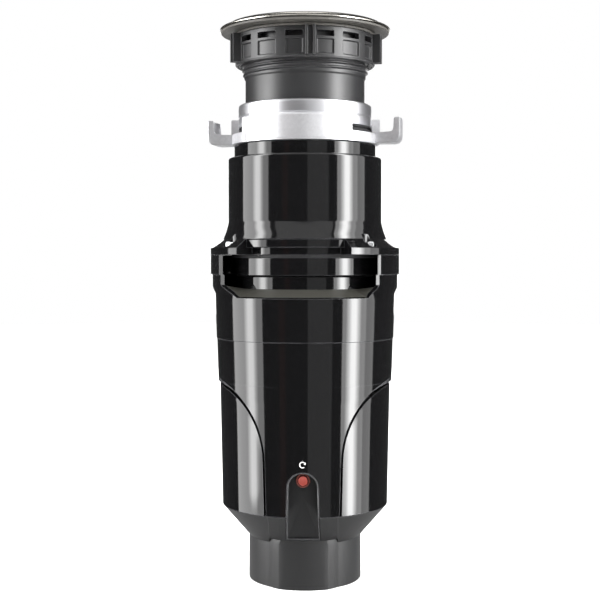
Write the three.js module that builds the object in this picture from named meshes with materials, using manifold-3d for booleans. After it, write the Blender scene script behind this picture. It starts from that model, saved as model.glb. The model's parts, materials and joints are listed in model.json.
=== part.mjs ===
// A kitchen garbage disposal, standing upright, in millimetres with +Z up.
// The origin is the middle of the underside. The front, with the reset button, faces -Y.
// Azimuths are in degrees about Z: 0 is the front, +90 is +X, 180 is the back.

import * as THREE from 'three';
import { mergeVertices } from 'three/addons/utils/BufferGeometryUtils.js';
import Module from 'manifold-3d';

const wasm = await Module();
wasm.setup();

// ---------------------------------------------------------------- driving dimensions

const GAP = 0.3; // between faces that touch on the real object
const RUN = 0.4; // radial running clearance of a large turning piece
const BEARING_RUN = 0.3; // radial clearance of the shaft in its bearings
const ROUND = 32; // sides of the covers and rings
const INNER_ROUND = 24; // sides of the parts inside
const SMALL_ROUND = 12; // sides of rods, pipes and screws

// Outer covers, from the floor up
const WALL = 2.6;
const PEDESTAL_R = 38;
const PEDESTAL_H = 30;
const CONE_H = 21;
const CONE_TOP_R = 56.1;
const SHELL_H = 112.5;
const SHELL_LOW_R = 56.4;
const SHELL_TOP_R = 59.6;
const DECK_H = 55.5;
const DECK_LOW_R = 60;
const DECK_WAIST_R = 60.8;
const DECK_WAIST_H = 30;
const DECK_CHAMFER_H = 4.5;
const DECK_SHOULDER_R = 62.8;
const DECK_SHOULDER_H = 43;
const DECK_R = 64;
const PANEL_R = 56;
const PANEL_TOP_R = 57.6;
const PANEL_TOP_Z = 136.5;
const PANEL_GAP = 0.9;
const TONGUE_HALF_LOW = 22.4;
const TONGUE_HALF = 24.4;
const TONGUE_STRAIGHT_Z = 85;
const TONGUE_ARCH_W = 37.5;

// Front pad of the pedestal, and the arched niche above it
const PAD_R = 40.3;
const PAD_HALF_ANGLE = 22.5;
const NICHE_FLOOR_Z = 35.5;
const NICHE_HALF_LOW = 11;
const NICHE_HALF = 9.95;
const NICHE_ARCH_Z = 70.45;
const NICHE_WALL = 1.4;
const NICHE_BACK_Y = 46;
const NICHE_TOE_Y = 38.9;
const NICHE_TOE_Z = 52;
const RESET_Z = 73.8;
const RESET_RING_R = 4.6;
const RESET_CAP_R = 3.15;
const RESET_STEM_R = 2;
const RESET_CAP_PROUD = 2.6;

// Front window of the deck
const WINDOW_LEFT = -60;
const WINDOW_RIGHT = 51.5;
const LEDGE_OUT_DROP = 5;

// Drain chamber and its outlet
const CHAMBER_R = 46.5;
const CHAMBER_RIM_R = 49.5;
const CHAMBER_WALL = 3;
const CHAMBER_RISE = 3.5;
const CHAMBER_STEP_DROP = 13;
const CHAMBER_GASKET_H = 1.4;
const SKIRT_R = 34;
const SEAL_BORE_R = 9;
const OUTLET_RISE = 23.5;
const OUTLET_R = 19;
const OUTLET_WALL = 3;
const OUTLET_CLEAR = 2;
const OUTLET_FACE_Y = 70;
const OUTLET_PLATE_T = 4;
const OUTLET_PLATE_HALF = 30;
const OUTLET_BOLT_X = 24.5;
const ELBOW_GASKET_T = 2;
const ELBOW_BEAD_W = 2.5;
const ELBOW_BEAD_T = 2.4;
const ELBOW_BEND_R = 26;
const ELBOW_TAIL = 22;
const ELBOW_FLANGE_T = 2;

// Upper housing
const EAR_H = 4.9;
const SKIRT_WALL = 3.4;
const SKIRT_H = 5.1;
const RIM_R = 54.7;
const RIM_H = 10.3;
const SHOULDER_R = 55.7;
const SHOULDER_H = 10.6;
const BARREL_R = 51.9;
const BARREL_FOOT_H = 22.1;
const BARREL_TOP_H = 65.3;
const BARREL_ROUND = 1.5;
const COLLAR_R = 47.9;
const COLLAR_H = 8.3;
const SPIGOT_R = 44.9;
const SPIGOT_H = 3.1;
const THROAT_R = 38.5;
const HOPPER_R = 47.6;
const EAR_LEFT_INNER = -42;
const EAR_RIGHT_INNER = 29;
const SCREW_CIRCLE_R = 58.6;
const SCREW_AZIMUTHS = [-55, 47, 133, -141];
const SCREW_HEAD_R = 3.4;
const SCREW_HEAD_H = 4;
const SCREW_SHANK_R = 1.9;
const SCREW_SHANK_L = 9.5;

// Grinding parts
const GRIND_RING_WALL = 2.8;
const GRIND_RING_DROP = 10.1;
const GRIND_RING_H = 22;
const GRIND_SLOTS = 12;
const TURNTABLE_DROP = 7;
const TURNTABLE_T = 2.2;
const TURNTABLE_RUN = 1.4;
const HUB_R = 12;
const HUB_DEPTH = 8;
const IMPELLER_PIVOT_R = 26.5;
const IMPELLER_REACH = 13.5;
const IMPELLER_HALF_W = 6;
const IMPELLER_T = 3;
const IMPELLER_TOE_H = 9;
const PIN_R = 2.6;
const PIN_RUN = 0.3;
const PIN_HEAD_R = 4.6;

// Motor
const MOTOR_Z = 84;
const MOTOR_H = 68;
const MOTOR_R = 43;
const MOTOR_WALL = 2.4;
const SHAFT_R = 6;
const BEARING_R = 13;
const BEARING_H = 7.4;
const BEARING_HUB_R = 16.5;
const BELL_T = 3.6;
const MAGNET_T = 5.6;
const MAGNET_HALF_ANGLE = 68;
const AIR_GAP = 1.2;
const CORE_H = 26;
const CORE_SLOTS = 12;
const WINDING_H = 8.6;
const COMMUTATOR_R = 12.5;
const COMMUTATOR_H = 10;
const BRUSH_SIZE = 5.4;
const BRUSH_L = 13;
const BRUSH_HOLDER_SIZE = 9;
const BRUSH_HOLDER_L = 20;

// Electrical parts in the base
const PLATE_T = 2.6;
const GLAND_Z = 66;
const GLAND_R = 7;
const GLAND_BORE_R = 4;
const GLAND_LIP_R = 9.4;

// Lock ring and its two finger hooks
const LOCK_WALL = 3.6;
const LOCK_LOW_H = 10.2;
const LOCK_HIGH_H = 16.4;
const LOCK_FRONT_LEFT = -54;
const LOCK_FRONT_RIGHT = 39;
const LOCK_BACK_FROM = 97;
const LOCK_BACK_TO = 262;
const LOCK_BACK_WALL = 5.6;
const LOCK_BACK_H = 18.4;
const HOOK_R = 66;
const HOOK_T = 3.6;
const HOOK_ARM_H = 6.6;
const HOOK_H = 16.6;
const HOOK_CHAMFER = 4.4;
const HOOK_ANGLE = 18;

// Sink mount: flange ring, threaded neck, nut, washers and sink flange
const SEAL_H = 8.4;
const RING_R = 44.9;
const RING_H = 15;
const RING_ROUND = 2;
const NECK_R = 40.2;
const NECK_PLAIN_H = 34;
const NECK_H = 59.4;
const THREAD_R = 42.5;
const THREAD_ROOT_R = 41;
const THREAD_PITCH = 3.2;
const THREAD_TURNS = 5;
const NUT_DROP = 17.6;
const NUT_H = 18.9;
const NUT_R = 47;
const NUT_RUN = 0.5;
const NUT_LUG_R = 52.2;
const NUT_LUGS = 5;
const NUT_LUG_AZIMUTH = 5.4;
const NUT_LUG_HALF_W = 2.4;
const NUT_RIB_T = 1.6;
const NUT_WINDOW_H = 3.6;
const NUT_WINDOW_DROP = 2.6;
const WASHER_T = 1.6;
const FLANGE_R = 57.3;
const CROWN_R = 53;
const FLANGE_RISE = 3.9;
const FLANGE_GASKET_T = 1.7;
const BOWL_R = 44;
const SLEEVE_R = 37.3;
const SLEEVE_WALL = 0.8;
const SLEEVE_L = 34;
const GUARD_T = 2;
const GUARD_RIM_H = 8;
const GUARD_RIM_T = 2.4;
const GUARD_SLOTS = 6;
const GUARD_SLOT_W = 1.6;

// ---------------------------------------------------------------- heights that follow

const CONE_TOP_Z = PEDESTAL_H + CONE_H;
const SEAM_Z = CONE_TOP_Z + SHELL_H;
const DECK_Z = SEAM_Z + DECK_H;
const CHAMBER_FLOOR_Z = SEAM_Z + CHAMBER_RISE;
const CHAMBER_STEP_Z = DECK_Z - CHAMBER_STEP_DROP;
const CHAMBER_TOP_Z = DECK_Z - CHAMBER_GASKET_H - GAP;
const OUTLET_Z = SEAM_Z + OUTLET_RISE;
const OUTLET_BORE_R = OUTLET_R - OUTLET_WALL;
const ELBOW_BEAD_R = OUTLET_R + ELBOW_BEAD_W;
const GRIND_RING_Z = DECK_Z - GRIND_RING_DROP;
const TURNTABLE_Z = DECK_Z - TURNTABLE_DROP;
const HOUSING_Z = DECK_Z + GAP;
const BARREL_TOP_Z = DECK_Z + BARREL_TOP_H;
const COLLAR_TOP_Z = BARREL_TOP_Z + COLLAR_H;
const SPIGOT_TOP_Z = COLLAR_TOP_Z + SPIGOT_H;
const LOCK_Z = COLLAR_TOP_Z + RUN;
const SEAL_Z = SPIGOT_TOP_Z + GAP;
const RING_Z = SEAL_Z + SEAL_H + GAP;
const RING_BORE_R = NECK_R + RUN;
const LOCK_BORE_R = RING_R + RUN + GAP;
const NECK_TOP_Z = RING_Z + NECK_H;
const NUT_Z = NECK_TOP_Z - NUT_DROP;
const NUT_TOP_Z = NUT_Z + NUT_H;
const WASHER_Z = NUT_TOP_Z + GAP;
const FLANGE_GASKET_Z = WASHER_Z + WASHER_T + GAP;
const FLANGE_Z = FLANGE_GASKET_Z + FLANGE_GASKET_T + GAP;
const NUT_BORE_R = THREAD_R + NUT_RUN;
const MOTOR_TOP_Z = MOTOR_Z + MOTOR_H;
const MOTOR_BORE_R = MOTOR_R - MOTOR_WALL;
const CORE_R = MOTOR_BORE_R - GAP - MAGNET_T - AIR_GAP;
const COMMUTATOR_Z = MOTOR_Z + 1;
const WINDING_Z = COMMUTATOR_Z + COMMUTATOR_H + 2;
const CORE_Z = WINDING_Z + WINDING_H + GAP;
const UPPER_WINDING_Z = CORE_Z + CORE_H + GAP;
const BRUSH_Z = COMMUTATOR_Z + COMMUTATOR_H / 2;
const UPPER_BEARING_Z = MOTOR_TOP_Z - MOTOR_WALL - BEARING_H;
const LOWER_BEARING_Z = MOTOR_Z - GAP - BEARING_H;
const GRIND_RING_R = CHAMBER_RIM_R - CHAMBER_WALL - GAP;
const GRIND_BORE_R = GRIND_RING_R - GRIND_RING_WALL;
const TURNTABLE_R = GRIND_BORE_R - TURNTABLE_RUN;
const TURNTABLE_TOP_Z = TURNTABLE_Z + TURNTABLE_T;
const IMPELLER_Z = TURNTABLE_TOP_Z + GAP;
const ELBOW_Y = OUTLET_FACE_Y + GAP + ELBOW_GASKET_T + GAP;

// ---------------------------------------------------------------- geometry helpers

const radians = THREE.MathUtils.degToRad;

// A point at radius r on an azimuth, as [x, y].
function polar(r, azimuth) {
  return [r * Math.sin(radians(azimuth)), -r * Math.cos(radians(azimuth))];
}

// The solid that a closed geometry bounds, for joining and cutting.
function toSolid(geometry) {
  const bare = geometry.clone();
  bare.deleteAttribute('normal');
  bare.deleteAttribute('uv');
  const merged = mergeVertices(bare, 1e-4);
  const corners = merged.getIndex().array;
  const triangles = [];
  for (let i = 0; i < corners.length; i += 3) {
    const [a, b, c] = corners.slice(i, i + 3);
    if (a !== b && b !== c && c !== a) {
      triangles.push(a, b, c);
    }
  }
  return new wasm.Manifold(new wasm.Mesh({
    numProp: 3,
    vertProperties: new Float32Array(merged.getAttribute('position').array),
    triVerts: new Uint32Array(triangles),
  }));
}

function toGeometry(solid) {
  const mesh = solid.getMesh();
  const geometry = new THREE.BufferGeometry();
  geometry.setAttribute('position', new THREE.BufferAttribute(new Float32Array(mesh.vertProperties), 3));
  geometry.setIndex(new THREE.BufferAttribute(new Uint32Array(mesh.triVerts), 1));
  return geometry;
}

function join(first, ...others) {
  return toGeometry(others.reduce((solid, other) => solid.add(toSolid(other)), toSolid(first)));
}

function cut(first, ...tools) {
  return toGeometry(tools.reduce((solid, tool) => solid.subtract(toSolid(tool)), toSolid(first)));
}

function common(first, second) {
  return toGeometry(toSolid(first).intersect(toSolid(second)));
}

// A closed [r, z] outline turned a full circle about Z.
function turned(outline, sides = ROUND) {
  const points = outline.map(([r, z]) => new THREE.Vector2(r, z));
  if (THREE.ShapeUtils.area(points) < 0) {
    points.reverse();
  }
  points.push(points[0].clone());
  return new THREE.LatheGeometry(points, sides).rotateX(Math.PI / 2);
}

// A round ring, or a disc where the bore is 0, between two heights.
function ring(outerR, boreR, z0, z1, sides = ROUND) {
  return turned([[boreR, z0], [outerR, z0], [outerR, z1], [boreR, z1]], sides);
}

// An [x, y] outline with straight sides along Z.
function prism(outline, z0, z1) {
  const shape = new THREE.Shape(outline.map(([x, y]) => new THREE.Vector2(x, y)));
  const options = { depth: z1 - z0, bevelEnabled: false };
  return new THREE.ExtrudeGeometry(shape, options).translate(0, 0, z0);
}

// An [x, z] outline with straight sides along Y.
function frontPrism(outline, y0, y1) {
  return prism(outline, -y1, -y0).rotateX(Math.PI / 2);
}

// A [y, z] outline with straight sides along X.
function sidePrism(outline, x0, x1) {
  return prism(outline, x0, x1).rotateX(Math.PI / 2).rotateZ(Math.PI / 2);
}

// A wedge about Z between two azimuths, wide enough to cut out a sector up to radius r.
function wedge(from, to, r, z0, z1) {
  const steps = Math.max(2, Math.ceil((to - from) / 30));
  const outline = [[0, 0]];
  for (let i = 0; i <= steps; i += 1) {
    outline.push(polar(r / Math.cos(radians(15)), from + ((to - from) * i) / steps));
  }
  return prism(outline, z0, z1);
}

function sector(outline, from, to, sides = ROUND) {
  const heights = outline.map(([, z]) => z);
  const radii = outline.map(([r]) => r);
  const reach = Math.max(...radii) + 1;
  return common(
    turned(outline, sides),
    wedge(from, to, reach, Math.min(...heights) - 1, Math.max(...heights) + 1),
  );
}

function box(x0, x1, y0, y1, z0, z1) {
  const block = new THREE.BoxGeometry(x1 - x0, y1 - y0, z1 - z0);
  return block.translate((x0 + x1) / 2, (y0 + y1) / 2, (z0 + z1) / 2);
}

// A round rod along Z at [x, y].
function post(r, x, y, z0, z1, sides = SMALL_ROUND) {
  const rod = new THREE.CylinderGeometry(r, r, z1 - z0, sides).rotateX(Math.PI / 2);
  return rod.translate(x, y, (z0 + z1) / 2);
}

// A round rod along Y at [x, z].
function spindle(r, x, z, y0, y1, sides = SMALL_ROUND) {
  return new THREE.CylinderGeometry(r, r, y1 - y0, sides).translate(x, (y0 + y1) / 2, z);
}

function lerp(from, to, t) {
  return from + (to - from) * t;
}

// ---------------------------------------------------------------- finishes and assembly

const FINISHES = {
  glossBlack: { color: 0x1c1c1e, roughness: 0.18, metalness: 0 },
  satinBlack: { color: 0x3a3a3c, roughness: 0.5, metalness: 0 },
  deepBlack: { color: 0x101012, roughness: 0.6, metalness: 0 },
  castAluminium: { color: 0xb9babd, roughness: 0.35, metalness: 1 },
  polishedRing: { color: 0xd2d3d6, roughness: 0.22, metalness: 1 },
  stainless: { color: 0xc9c6bd, roughness: 0.2, metalness: 1 },
  platedSteel: { color: 0xb4b6b8, roughness: 0.3, metalness: 1 },
  steel: { color: 0x8e9093, roughness: 0.4, metalness: 1 },
  rubber: { color: 0x17181a, roughness: 0.85, metalness: 0 },
  greyRubber: { color: 0xb8b8b2, roughness: 0.8, metalness: 0 },
  ferrite: { color: 0x2b2c2e, roughness: 0.7, metalness: 0 },
  copper: { color: 0xb06a3c, roughness: 0.35, metalness: 1 },
  carbon: { color: 0x222224, roughness: 0.8, metalness: 0 },
  redPlastic: { color: 0xab3f35, roughness: 0.4, metalness: 0 },
  brownPlastic: { color: 0x6d2f27, roughness: 0.5, metalness: 0 },
  bakelite: { color: 0x2d2623, roughness: 0.5, metalness: 0 },
};

const disposal = new THREE.Group();

function piece(name, geometry, finish, group = disposal) {
  const material = new THREE.MeshStandardMaterial(FINISHES[finish]);
  const mesh = new THREE.Mesh(toGeometry(toSolid(geometry)), material);
  mesh.name = name;
  group.add(mesh);
  return mesh;
}

// ---------------------------------------------------------------- outer covers

// The shell's outer radius, which grows a little from the cone to the seam.
function shellRadius(z) {
  return lerp(SHELL_LOW_R, SHELL_TOP_R, (z - CONE_TOP_Z) / SHELL_H);
}

// Everything within the outer faces of the covers, for trimming pieces that end flush with them.
function coverEnvelope(inset) {
  return turned([
    [0, 0],
    [PEDESTAL_R - inset, 0],
    [PEDESTAL_R - inset, PEDESTAL_H],
    [CONE_TOP_R - inset, CONE_TOP_Z],
    [SHELL_LOW_R - inset, CONE_TOP_Z + GAP],
    [SHELL_TOP_R - inset, SEAM_Z],
    [0, SEAM_Z],
  ]);
}

// The tongue's right edge in front view, from its foot to where the arch meets the side.
function tongueEdge(offset) {
  const archH = PANEL_TOP_Z - TONGUE_STRAIGHT_Z;
  const steps = 10;
  const edge = [[TONGUE_HALF_LOW + offset, -1]];
  for (let i = 0; i <= steps; i += 1) {
    const turn = (Math.PI / 2) * (i / steps);
    edge.push([
      TONGUE_HALF + offset + TONGUE_ARCH_W * (1 - Math.cos(turn)),
      TONGUE_STRAIGHT_Z + (archH - offset) * Math.sin(turn),
    ]);
  }
  return edge;
}

// The region to the right of a tongue's edge, as a block through the whole object.
function panelBlock(offset, side) {
  const edge = tongueEdge(offset);
  const outline = [...edge, [SHELL_TOP_R + 20, PANEL_TOP_Z - offset], [SHELL_TOP_R + 20, -1]];
  return frontPrism(outline.map(([x, z]) => [x * side, z]), -SHELL_TOP_R - 5, SHELL_TOP_R + 5);
}

// The niche's arch in front view, grown by an offset.
function nicheOutline(offset) {
  const archR = NICHE_HALF + offset;
  const outline = [
    [-NICHE_HALF_LOW - offset, NICHE_FLOOR_Z - offset],
    [NICHE_HALF_LOW + offset, NICHE_FLOOR_Z - offset],
  ];
  const steps = 12;
  for (let i = 0; i <= steps; i += 1) {
    const turn = Math.PI * (i / steps);
    outline.push([archR * Math.cos(turn), NICHE_ARCH_Z + archR * Math.sin(turn)]);
  }
  return outline;
}

function nicheHole() {
  return frontPrism(nicheOutline(GAP), -DECK_R, -NICHE_TOE_Y + NICHE_WALL + 1);
}

// A tray with an arched outline whose back leans inwards at the foot, flush with the covers.
function resetNiche() {
  const back = (depth) => [
    [-DECK_R, NICHE_FLOOR_Z - 1],
    [-DECK_R, NICHE_ARCH_Z + 20],
    [-NICHE_BACK_Y + depth, NICHE_ARCH_Z + 20],
    [-NICHE_BACK_Y + depth, NICHE_TOE_Z],
    [-NICHE_TOE_Y + depth, NICHE_FLOOR_Z - 1],
  ];
  const half = NICHE_HALF_LOW + 1;
  const block = common(frontPrism(nicheOutline(0), -DECK_R, 0), sidePrism(back(NICHE_WALL), -half, half));
  const hollow = common(
    frontPrism(nicheOutline(-NICHE_WALL), -DECK_R - 1, 0),
    sidePrism(back(0), -half, half),
  );
  const stemHole = spindle(RESET_STEM_R + RUN, 0, RESET_Z, -NICHE_BACK_Y - 1, -NICHE_BACK_Y + 4);
  return cut(common(block, coverEnvelope(GAP)), hollow, stemHole);
}

function baseCover() {
  const shell = turned([
    [PEDESTAL_R, 0],
    [PEDESTAL_R, PEDESTAL_H],
    [CONE_TOP_R, CONE_TOP_Z],
    [CONE_TOP_R - WALL, CONE_TOP_Z],
    [PEDESTAL_R - WALL, PEDESTAL_H + WALL / 2],
    [PEDESTAL_R - WALL, 0],
  ]);
  const pad = sector(
    [[PEDESTAL_R - WALL / 2, 0], [PAD_R, 0], [PAD_R, NICHE_FLOOR_Z - GAP], [PEDESTAL_R - WALL / 2, NICHE_FLOOR_Z - GAP]],
    -PAD_HALF_ANGLE,
    PAD_HALF_ANGLE,
  );
  return cut(join(shell, pad), nicheHole());
}

function bottomPlate() {
  const plate = ring(PEDESTAL_R - WALL - GAP, 0, 0, PLATE_T);
  const lip = ring(PEDESTAL_R - WALL - GAP, PEDESTAL_R - 2 * WALL - GAP, 0, PLATE_T * 2);
  return join(plate, lip);
}

function mainShell() {
  const bottom = CONE_TOP_Z + GAP;
  const top = SEAM_Z - GAP;
  const shell = turned([
    [SHELL_LOW_R, bottom],
    [shellRadius(PANEL_TOP_Z + 3), PANEL_TOP_Z + 3],
    [shellRadius(top), top],
    [shellRadius(top) - WALL, top],
    [SHELL_LOW_R - WALL, bottom],
  ]);
  const glandHole = spindle(GLAND_R + GAP, 0, GLAND_Z, SHELL_LOW_R - 10, SHELL_LOW_R + 10);
  return cut(shell, panelBlock(0, 1), panelBlock(0, -1), nicheHole(), glandHole);
}

function sidePanel(side) {
  const bottom = CONE_TOP_Z + GAP;
  const panel = turned([
    [PANEL_R, bottom],
    [PANEL_TOP_R, PANEL_TOP_Z - 2.2],
    [PANEL_TOP_R - 1.6, PANEL_TOP_Z],
    [PANEL_TOP_R - WALL, PANEL_TOP_Z],
    [PANEL_R - WALL, bottom],
  ]);
  return common(panel, panelBlock(PANEL_GAP, side));
}

function upperShell() {
  const waistZ = SEAM_Z + DECK_WAIST_H;
  const shoulderZ = SEAM_Z + DECK_SHOULDER_H;
  const ledgeR = CHAMBER_R + 2 * RUN;
  const ledgeZ = waistZ + 3.4;
  const shell = turned([
    [DECK_LOW_R, SEAM_Z],
    [DECK_WAIST_R, waistZ],
    [DECK_SHOULDER_R, waistZ + DECK_CHAMFER_H],
    [DECK_SHOULDER_R, shoulderZ - 0.4],
    [DECK_R, shoulderZ],
    [DECK_R, DECK_Z],
    [DECK_R - WALL, DECK_Z],
    [DECK_SHOULDER_R - WALL, waistZ + DECK_CHAMFER_H],
    [DECK_WAIST_R - WALL, waistZ],
    [ledgeR, ledgeZ],
    [ledgeR, ledgeZ - WALL],
    [DECK_WAIST_R - WALL, waistZ - WALL - 1],
    [DECK_LOW_R - WALL, SEAM_Z],
  ]);
  const above = [
    [CHAMBER_R - 5, ledgeZ + 0.4],
    [ledgeR, ledgeZ - 0.3],
    [DECK_WAIST_R, waistZ + 3.4 - LEDGE_OUT_DROP],
    [DECK_R + 5, waistZ + 3.4 - LEDGE_OUT_DROP - 1.5],
    [DECK_R + 5, DECK_Z + 5],
    [CHAMBER_R - 5, DECK_Z + 5],
  ];
  const window = sector(above, WINDOW_LEFT, WINDOW_RIGHT);
  const outletHole = spindle(OUTLET_R + OUTLET_CLEAR, 0, OUTLET_Z, CHAMBER_R - 8, DECK_R + 5, ROUND);
  return cut(shell, window, outletHole);
}

// ---------------------------------------------------------------- upper housing and mount

function screwPoint(index, r = SCREW_CIRCLE_R) {
  return polar(r, SCREW_AZIMUTHS[index]);
}

function upperHousing() {
  const z = (height) => DECK_Z + height;
  const outer = [
    [DECK_R, HOUSING_Z],
    [DECK_R, z(EAR_H)],
    [SHOULDER_R, z(SHOULDER_H)],
    [lerp(SHOULDER_R, BARREL_R, 0.62), z(lerp(SHOULDER_H, BARREL_FOOT_H, 0.5))],
    [BARREL_R, z(BARREL_FOOT_H)],
    [BARREL_R, BARREL_TOP_Z - BARREL_ROUND],
    [BARREL_R - BARREL_ROUND, BARREL_TOP_Z],
    [COLLAR_R, BARREL_TOP_Z],
    [COLLAR_R, COLLAR_TOP_Z],
    [SPIGOT_R, COLLAR_TOP_Z],
    [SPIGOT_R, SPIGOT_TOP_Z],
  ];
  const inner = [
    [THROAT_R, SPIGOT_TOP_Z],
    [THROAT_R, BARREL_TOP_Z],
    [HOPPER_R, BARREL_TOP_Z - 4],
    [HOPPER_R, GRIND_RING_Z + GRIND_RING_H + GAP],
    [GRIND_RING_R + GAP, GRIND_RING_Z + GRIND_RING_H + GAP],
    [GRIND_RING_R + GAP, HOUSING_Z],
  ];
  const body = turned([...outer, ...inner]);
  const skirtR = GRIND_RING_R + GAP + SKIRT_WALL;
  const frontRelief = [
    [skirtR, HOUSING_Z - 1],
    [skirtR, z(SKIRT_H)],
    [RIM_R, z(SKIRT_H)],
    [RIM_R, z(RIM_H)],
    [DECK_R + 5, z(RIM_H)],
    [DECK_R + 5, HOUSING_Z - 1],
  ];
  const pockets = SCREW_AZIMUTHS.map((azimuth, index) => {
    const [x, y] = screwPoint(index);
    return post(SCREW_HEAD_R + 1, x, y, z(EAR_H) - 0.5, z(SHOULDER_H) + 2);
  });
  const holes = SCREW_AZIMUTHS.map((azimuth, index) => {
    const [x, y] = screwPoint(index);
    return post(SCREW_SHANK_R + GAP, x, y, HOUSING_Z - 1, z(EAR_H) + 1, 12);
  });
  return cut(body, sector(frontRelief, EAR_LEFT_INNER, EAR_RIGHT_INNER), ...pockets, ...holes);
}

function housingScrew(index) {
  const [x, y] = screwPoint(index);
  const seatZ = DECK_Z + EAR_H - 0.5 + GAP;
  const head = post(SCREW_HEAD_R, x, y, seatZ, seatZ + SCREW_HEAD_H, 6);
  return join(head, post(SCREW_SHANK_R, x, y, seatZ - SCREW_SHANK_L, seatZ + 1, 12));
}

function hopperLiner() {
  const outerR = HOPPER_R - GAP;
  const bottom = GRIND_RING_Z + GRIND_RING_H + 2 * GAP;
  return ring(outerR, outerR - 1, bottom, BARREL_TOP_Z - 5);
}

// A finger hook: an arm out from the ring that turns up at its end.
function lockHook(from) {
  const arm = LOCK_Z + HOOK_ARM_H;
  return sector([
    [LOCK_BORE_R + 1, LOCK_Z + 0.8],
    [HOOK_R - HOOK_CHAMFER, LOCK_Z + 0.8],
    [HOOK_R, LOCK_Z + 0.8 + HOOK_CHAMFER],
    [HOOK_R, LOCK_Z + 0.8 + HOOK_H],
    [HOOK_R - HOOK_T, LOCK_Z + 0.8 + HOOK_H],
    [HOOK_R - HOOK_T, arm + 5],
    [HOOK_R - HOOK_T - 2.6, arm + 0.8],
    [LOCK_BORE_R + 1, arm + 0.8],
  ], from, from + HOOK_ANGLE, ROUND * 2);
}

function lockRing() {
  const outerR = LOCK_BORE_R + LOCK_WALL;
  const base = ring(outerR, LOCK_BORE_R, LOCK_Z, LOCK_Z + LOCK_LOW_H);
  const highWall = (wall, height) => [
    [LOCK_BORE_R, LOCK_Z + 1],
    [LOCK_BORE_R + wall, LOCK_Z + 1],
    [LOCK_BORE_R + wall, LOCK_Z + height],
    [LOCK_BORE_R, LOCK_Z + height],
  ];
  const front = sector(highWall(LOCK_WALL + 0.3, LOCK_HIGH_H), LOCK_FRONT_LEFT, LOCK_FRONT_RIGHT);
  const back = sector(highWall(LOCK_BACK_WALL, LOCK_BACK_H), LOCK_BACK_FROM, LOCK_BACK_TO);
  return join(base, front, back, lockHook(90 - HOOK_ANGLE), lockHook(270 - HOOK_ANGLE));
}

function neckSeal() {
  const outerR = SPIGOT_R - 0.5;
  const outline = [[THROAT_R, SEAL_Z], [outerR, SEAL_Z]];
  const ribs = 2;
  for (let i = 0; i < ribs; i += 1) {
    const z = SEAL_Z + ((i + 0.5) * SEAL_H) / ribs;
    outline.push([outerR, z - 0.6], [outerR - 1.6, z], [outerR, z + 0.6]);
  }
  outline.push([outerR, SEAL_Z + SEAL_H], [THROAT_R, SEAL_Z + SEAL_H]);
  return turned(outline, INNER_ROUND);
}

function mountingFlange() {
  return turned([
    [RING_BORE_R, RING_Z],
    [RING_R, RING_Z],
    [RING_R, RING_Z + RING_H - RING_ROUND],
    [RING_R - RING_ROUND, RING_Z + RING_H],
    [RING_BORE_R, RING_Z + RING_H],
  ]);
}

function neckSleeve() {
  const threadZ = RING_Z + NECK_PLAIN_H;
  const outline = [
    [SLEEVE_R + RUN, RING_Z],
    [NECK_R, RING_Z],
    [NECK_R, threadZ - 1.4],
    [THREAD_ROOT_R, threadZ],
  ];
  for (let i = 0; i < THREAD_TURNS; i += 1) {
    outline.push([THREAD_R, threadZ + (i + 0.4) * THREAD_PITCH]);
    outline.push([THREAD_ROOT_R, threadZ + (i + 1) * THREAD_PITCH]);
  }
  outline.push([THREAD_ROOT_R, NECK_TOP_Z], [THREAD_ROOT_R - 1.2, NECK_TOP_Z]);
  outline.push([SLEEVE_R + RUN, NECK_TOP_Z - 8]);
  return turned(outline);
}

function mountingNut() {
  const wall = ring(NUT_R, NUT_BORE_R, NUT_Z, NUT_TOP_Z);
  const sectorAngle = 360 / NUT_LUGS;
  const windowTop = NUT_TOP_Z - NUT_WINDOW_DROP;
  const windowSpans = [[5.5, 19.5], [27.5, 44.5], [52.5, 66.5]];
  const ribs = [];
  const windows = [];
  for (let i = 0; i < NUT_LUGS; i += 1) {
    const azimuth = NUT_LUG_AZIMUTH + i * sectorAngle;
    [-1, 1].forEach((side) => {
      const x = side * NUT_LUG_HALF_W;
      const rib = box(x - NUT_RIB_T / 2, x + NUT_RIB_T / 2, -NUT_LUG_R, -NUT_R + 1, NUT_Z, NUT_TOP_Z);
      ribs.push(rib.rotateZ(radians(azimuth)));
    });
    windowSpans.forEach(([from, to]) => {
      windows.push(wedge(azimuth + from, azimuth + to, NUT_R + 4, windowTop - NUT_WINDOW_H, windowTop));
    });
  }
  return cut(join(wall, ...ribs), ...windows);
}

function thrustRing() {
  return ring(NUT_R, NUT_BORE_R, WASHER_Z, WASHER_Z + WASHER_T);
}

function flangeGasket() {
  return ring(FLANGE_R - 0.8, BOWL_R, FLANGE_GASKET_Z, FLANGE_GASKET_Z + FLANGE_GASKET_T);
}

// A pressed steel flange with a rolled lip, a raised crown and a bowl that leads into a sleeve.
function sinkFlange() {
  const top = FLANGE_Z + FLANGE_RISE;
  const sleeveBottom = FLANGE_Z - SLEEVE_L;
  return turned([
    [FLANGE_R, FLANGE_Z],
    [FLANGE_R, FLANGE_Z + 0.8],
    [CROWN_R, FLANGE_Z + 2],
    [CROWN_R - 2, top],
    [BOWL_R, top - 1.2],
    [SLEEVE_R + 0.8, top - 9.5],
    [SLEEVE_R - SLEEVE_WALL, top - 15],
    [SLEEVE_R - SLEEVE_WALL, sleeveBottom],
    [SLEEVE_R, sleeveBottom],
    [SLEEVE_R, top - 15],
    [SLEEVE_R + 1.6, top - 9.5],
    [BOWL_R - 2.2, FLANGE_Z - 1.2],
    [BOWL_R, FLANGE_Z],
  ]);
}

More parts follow.
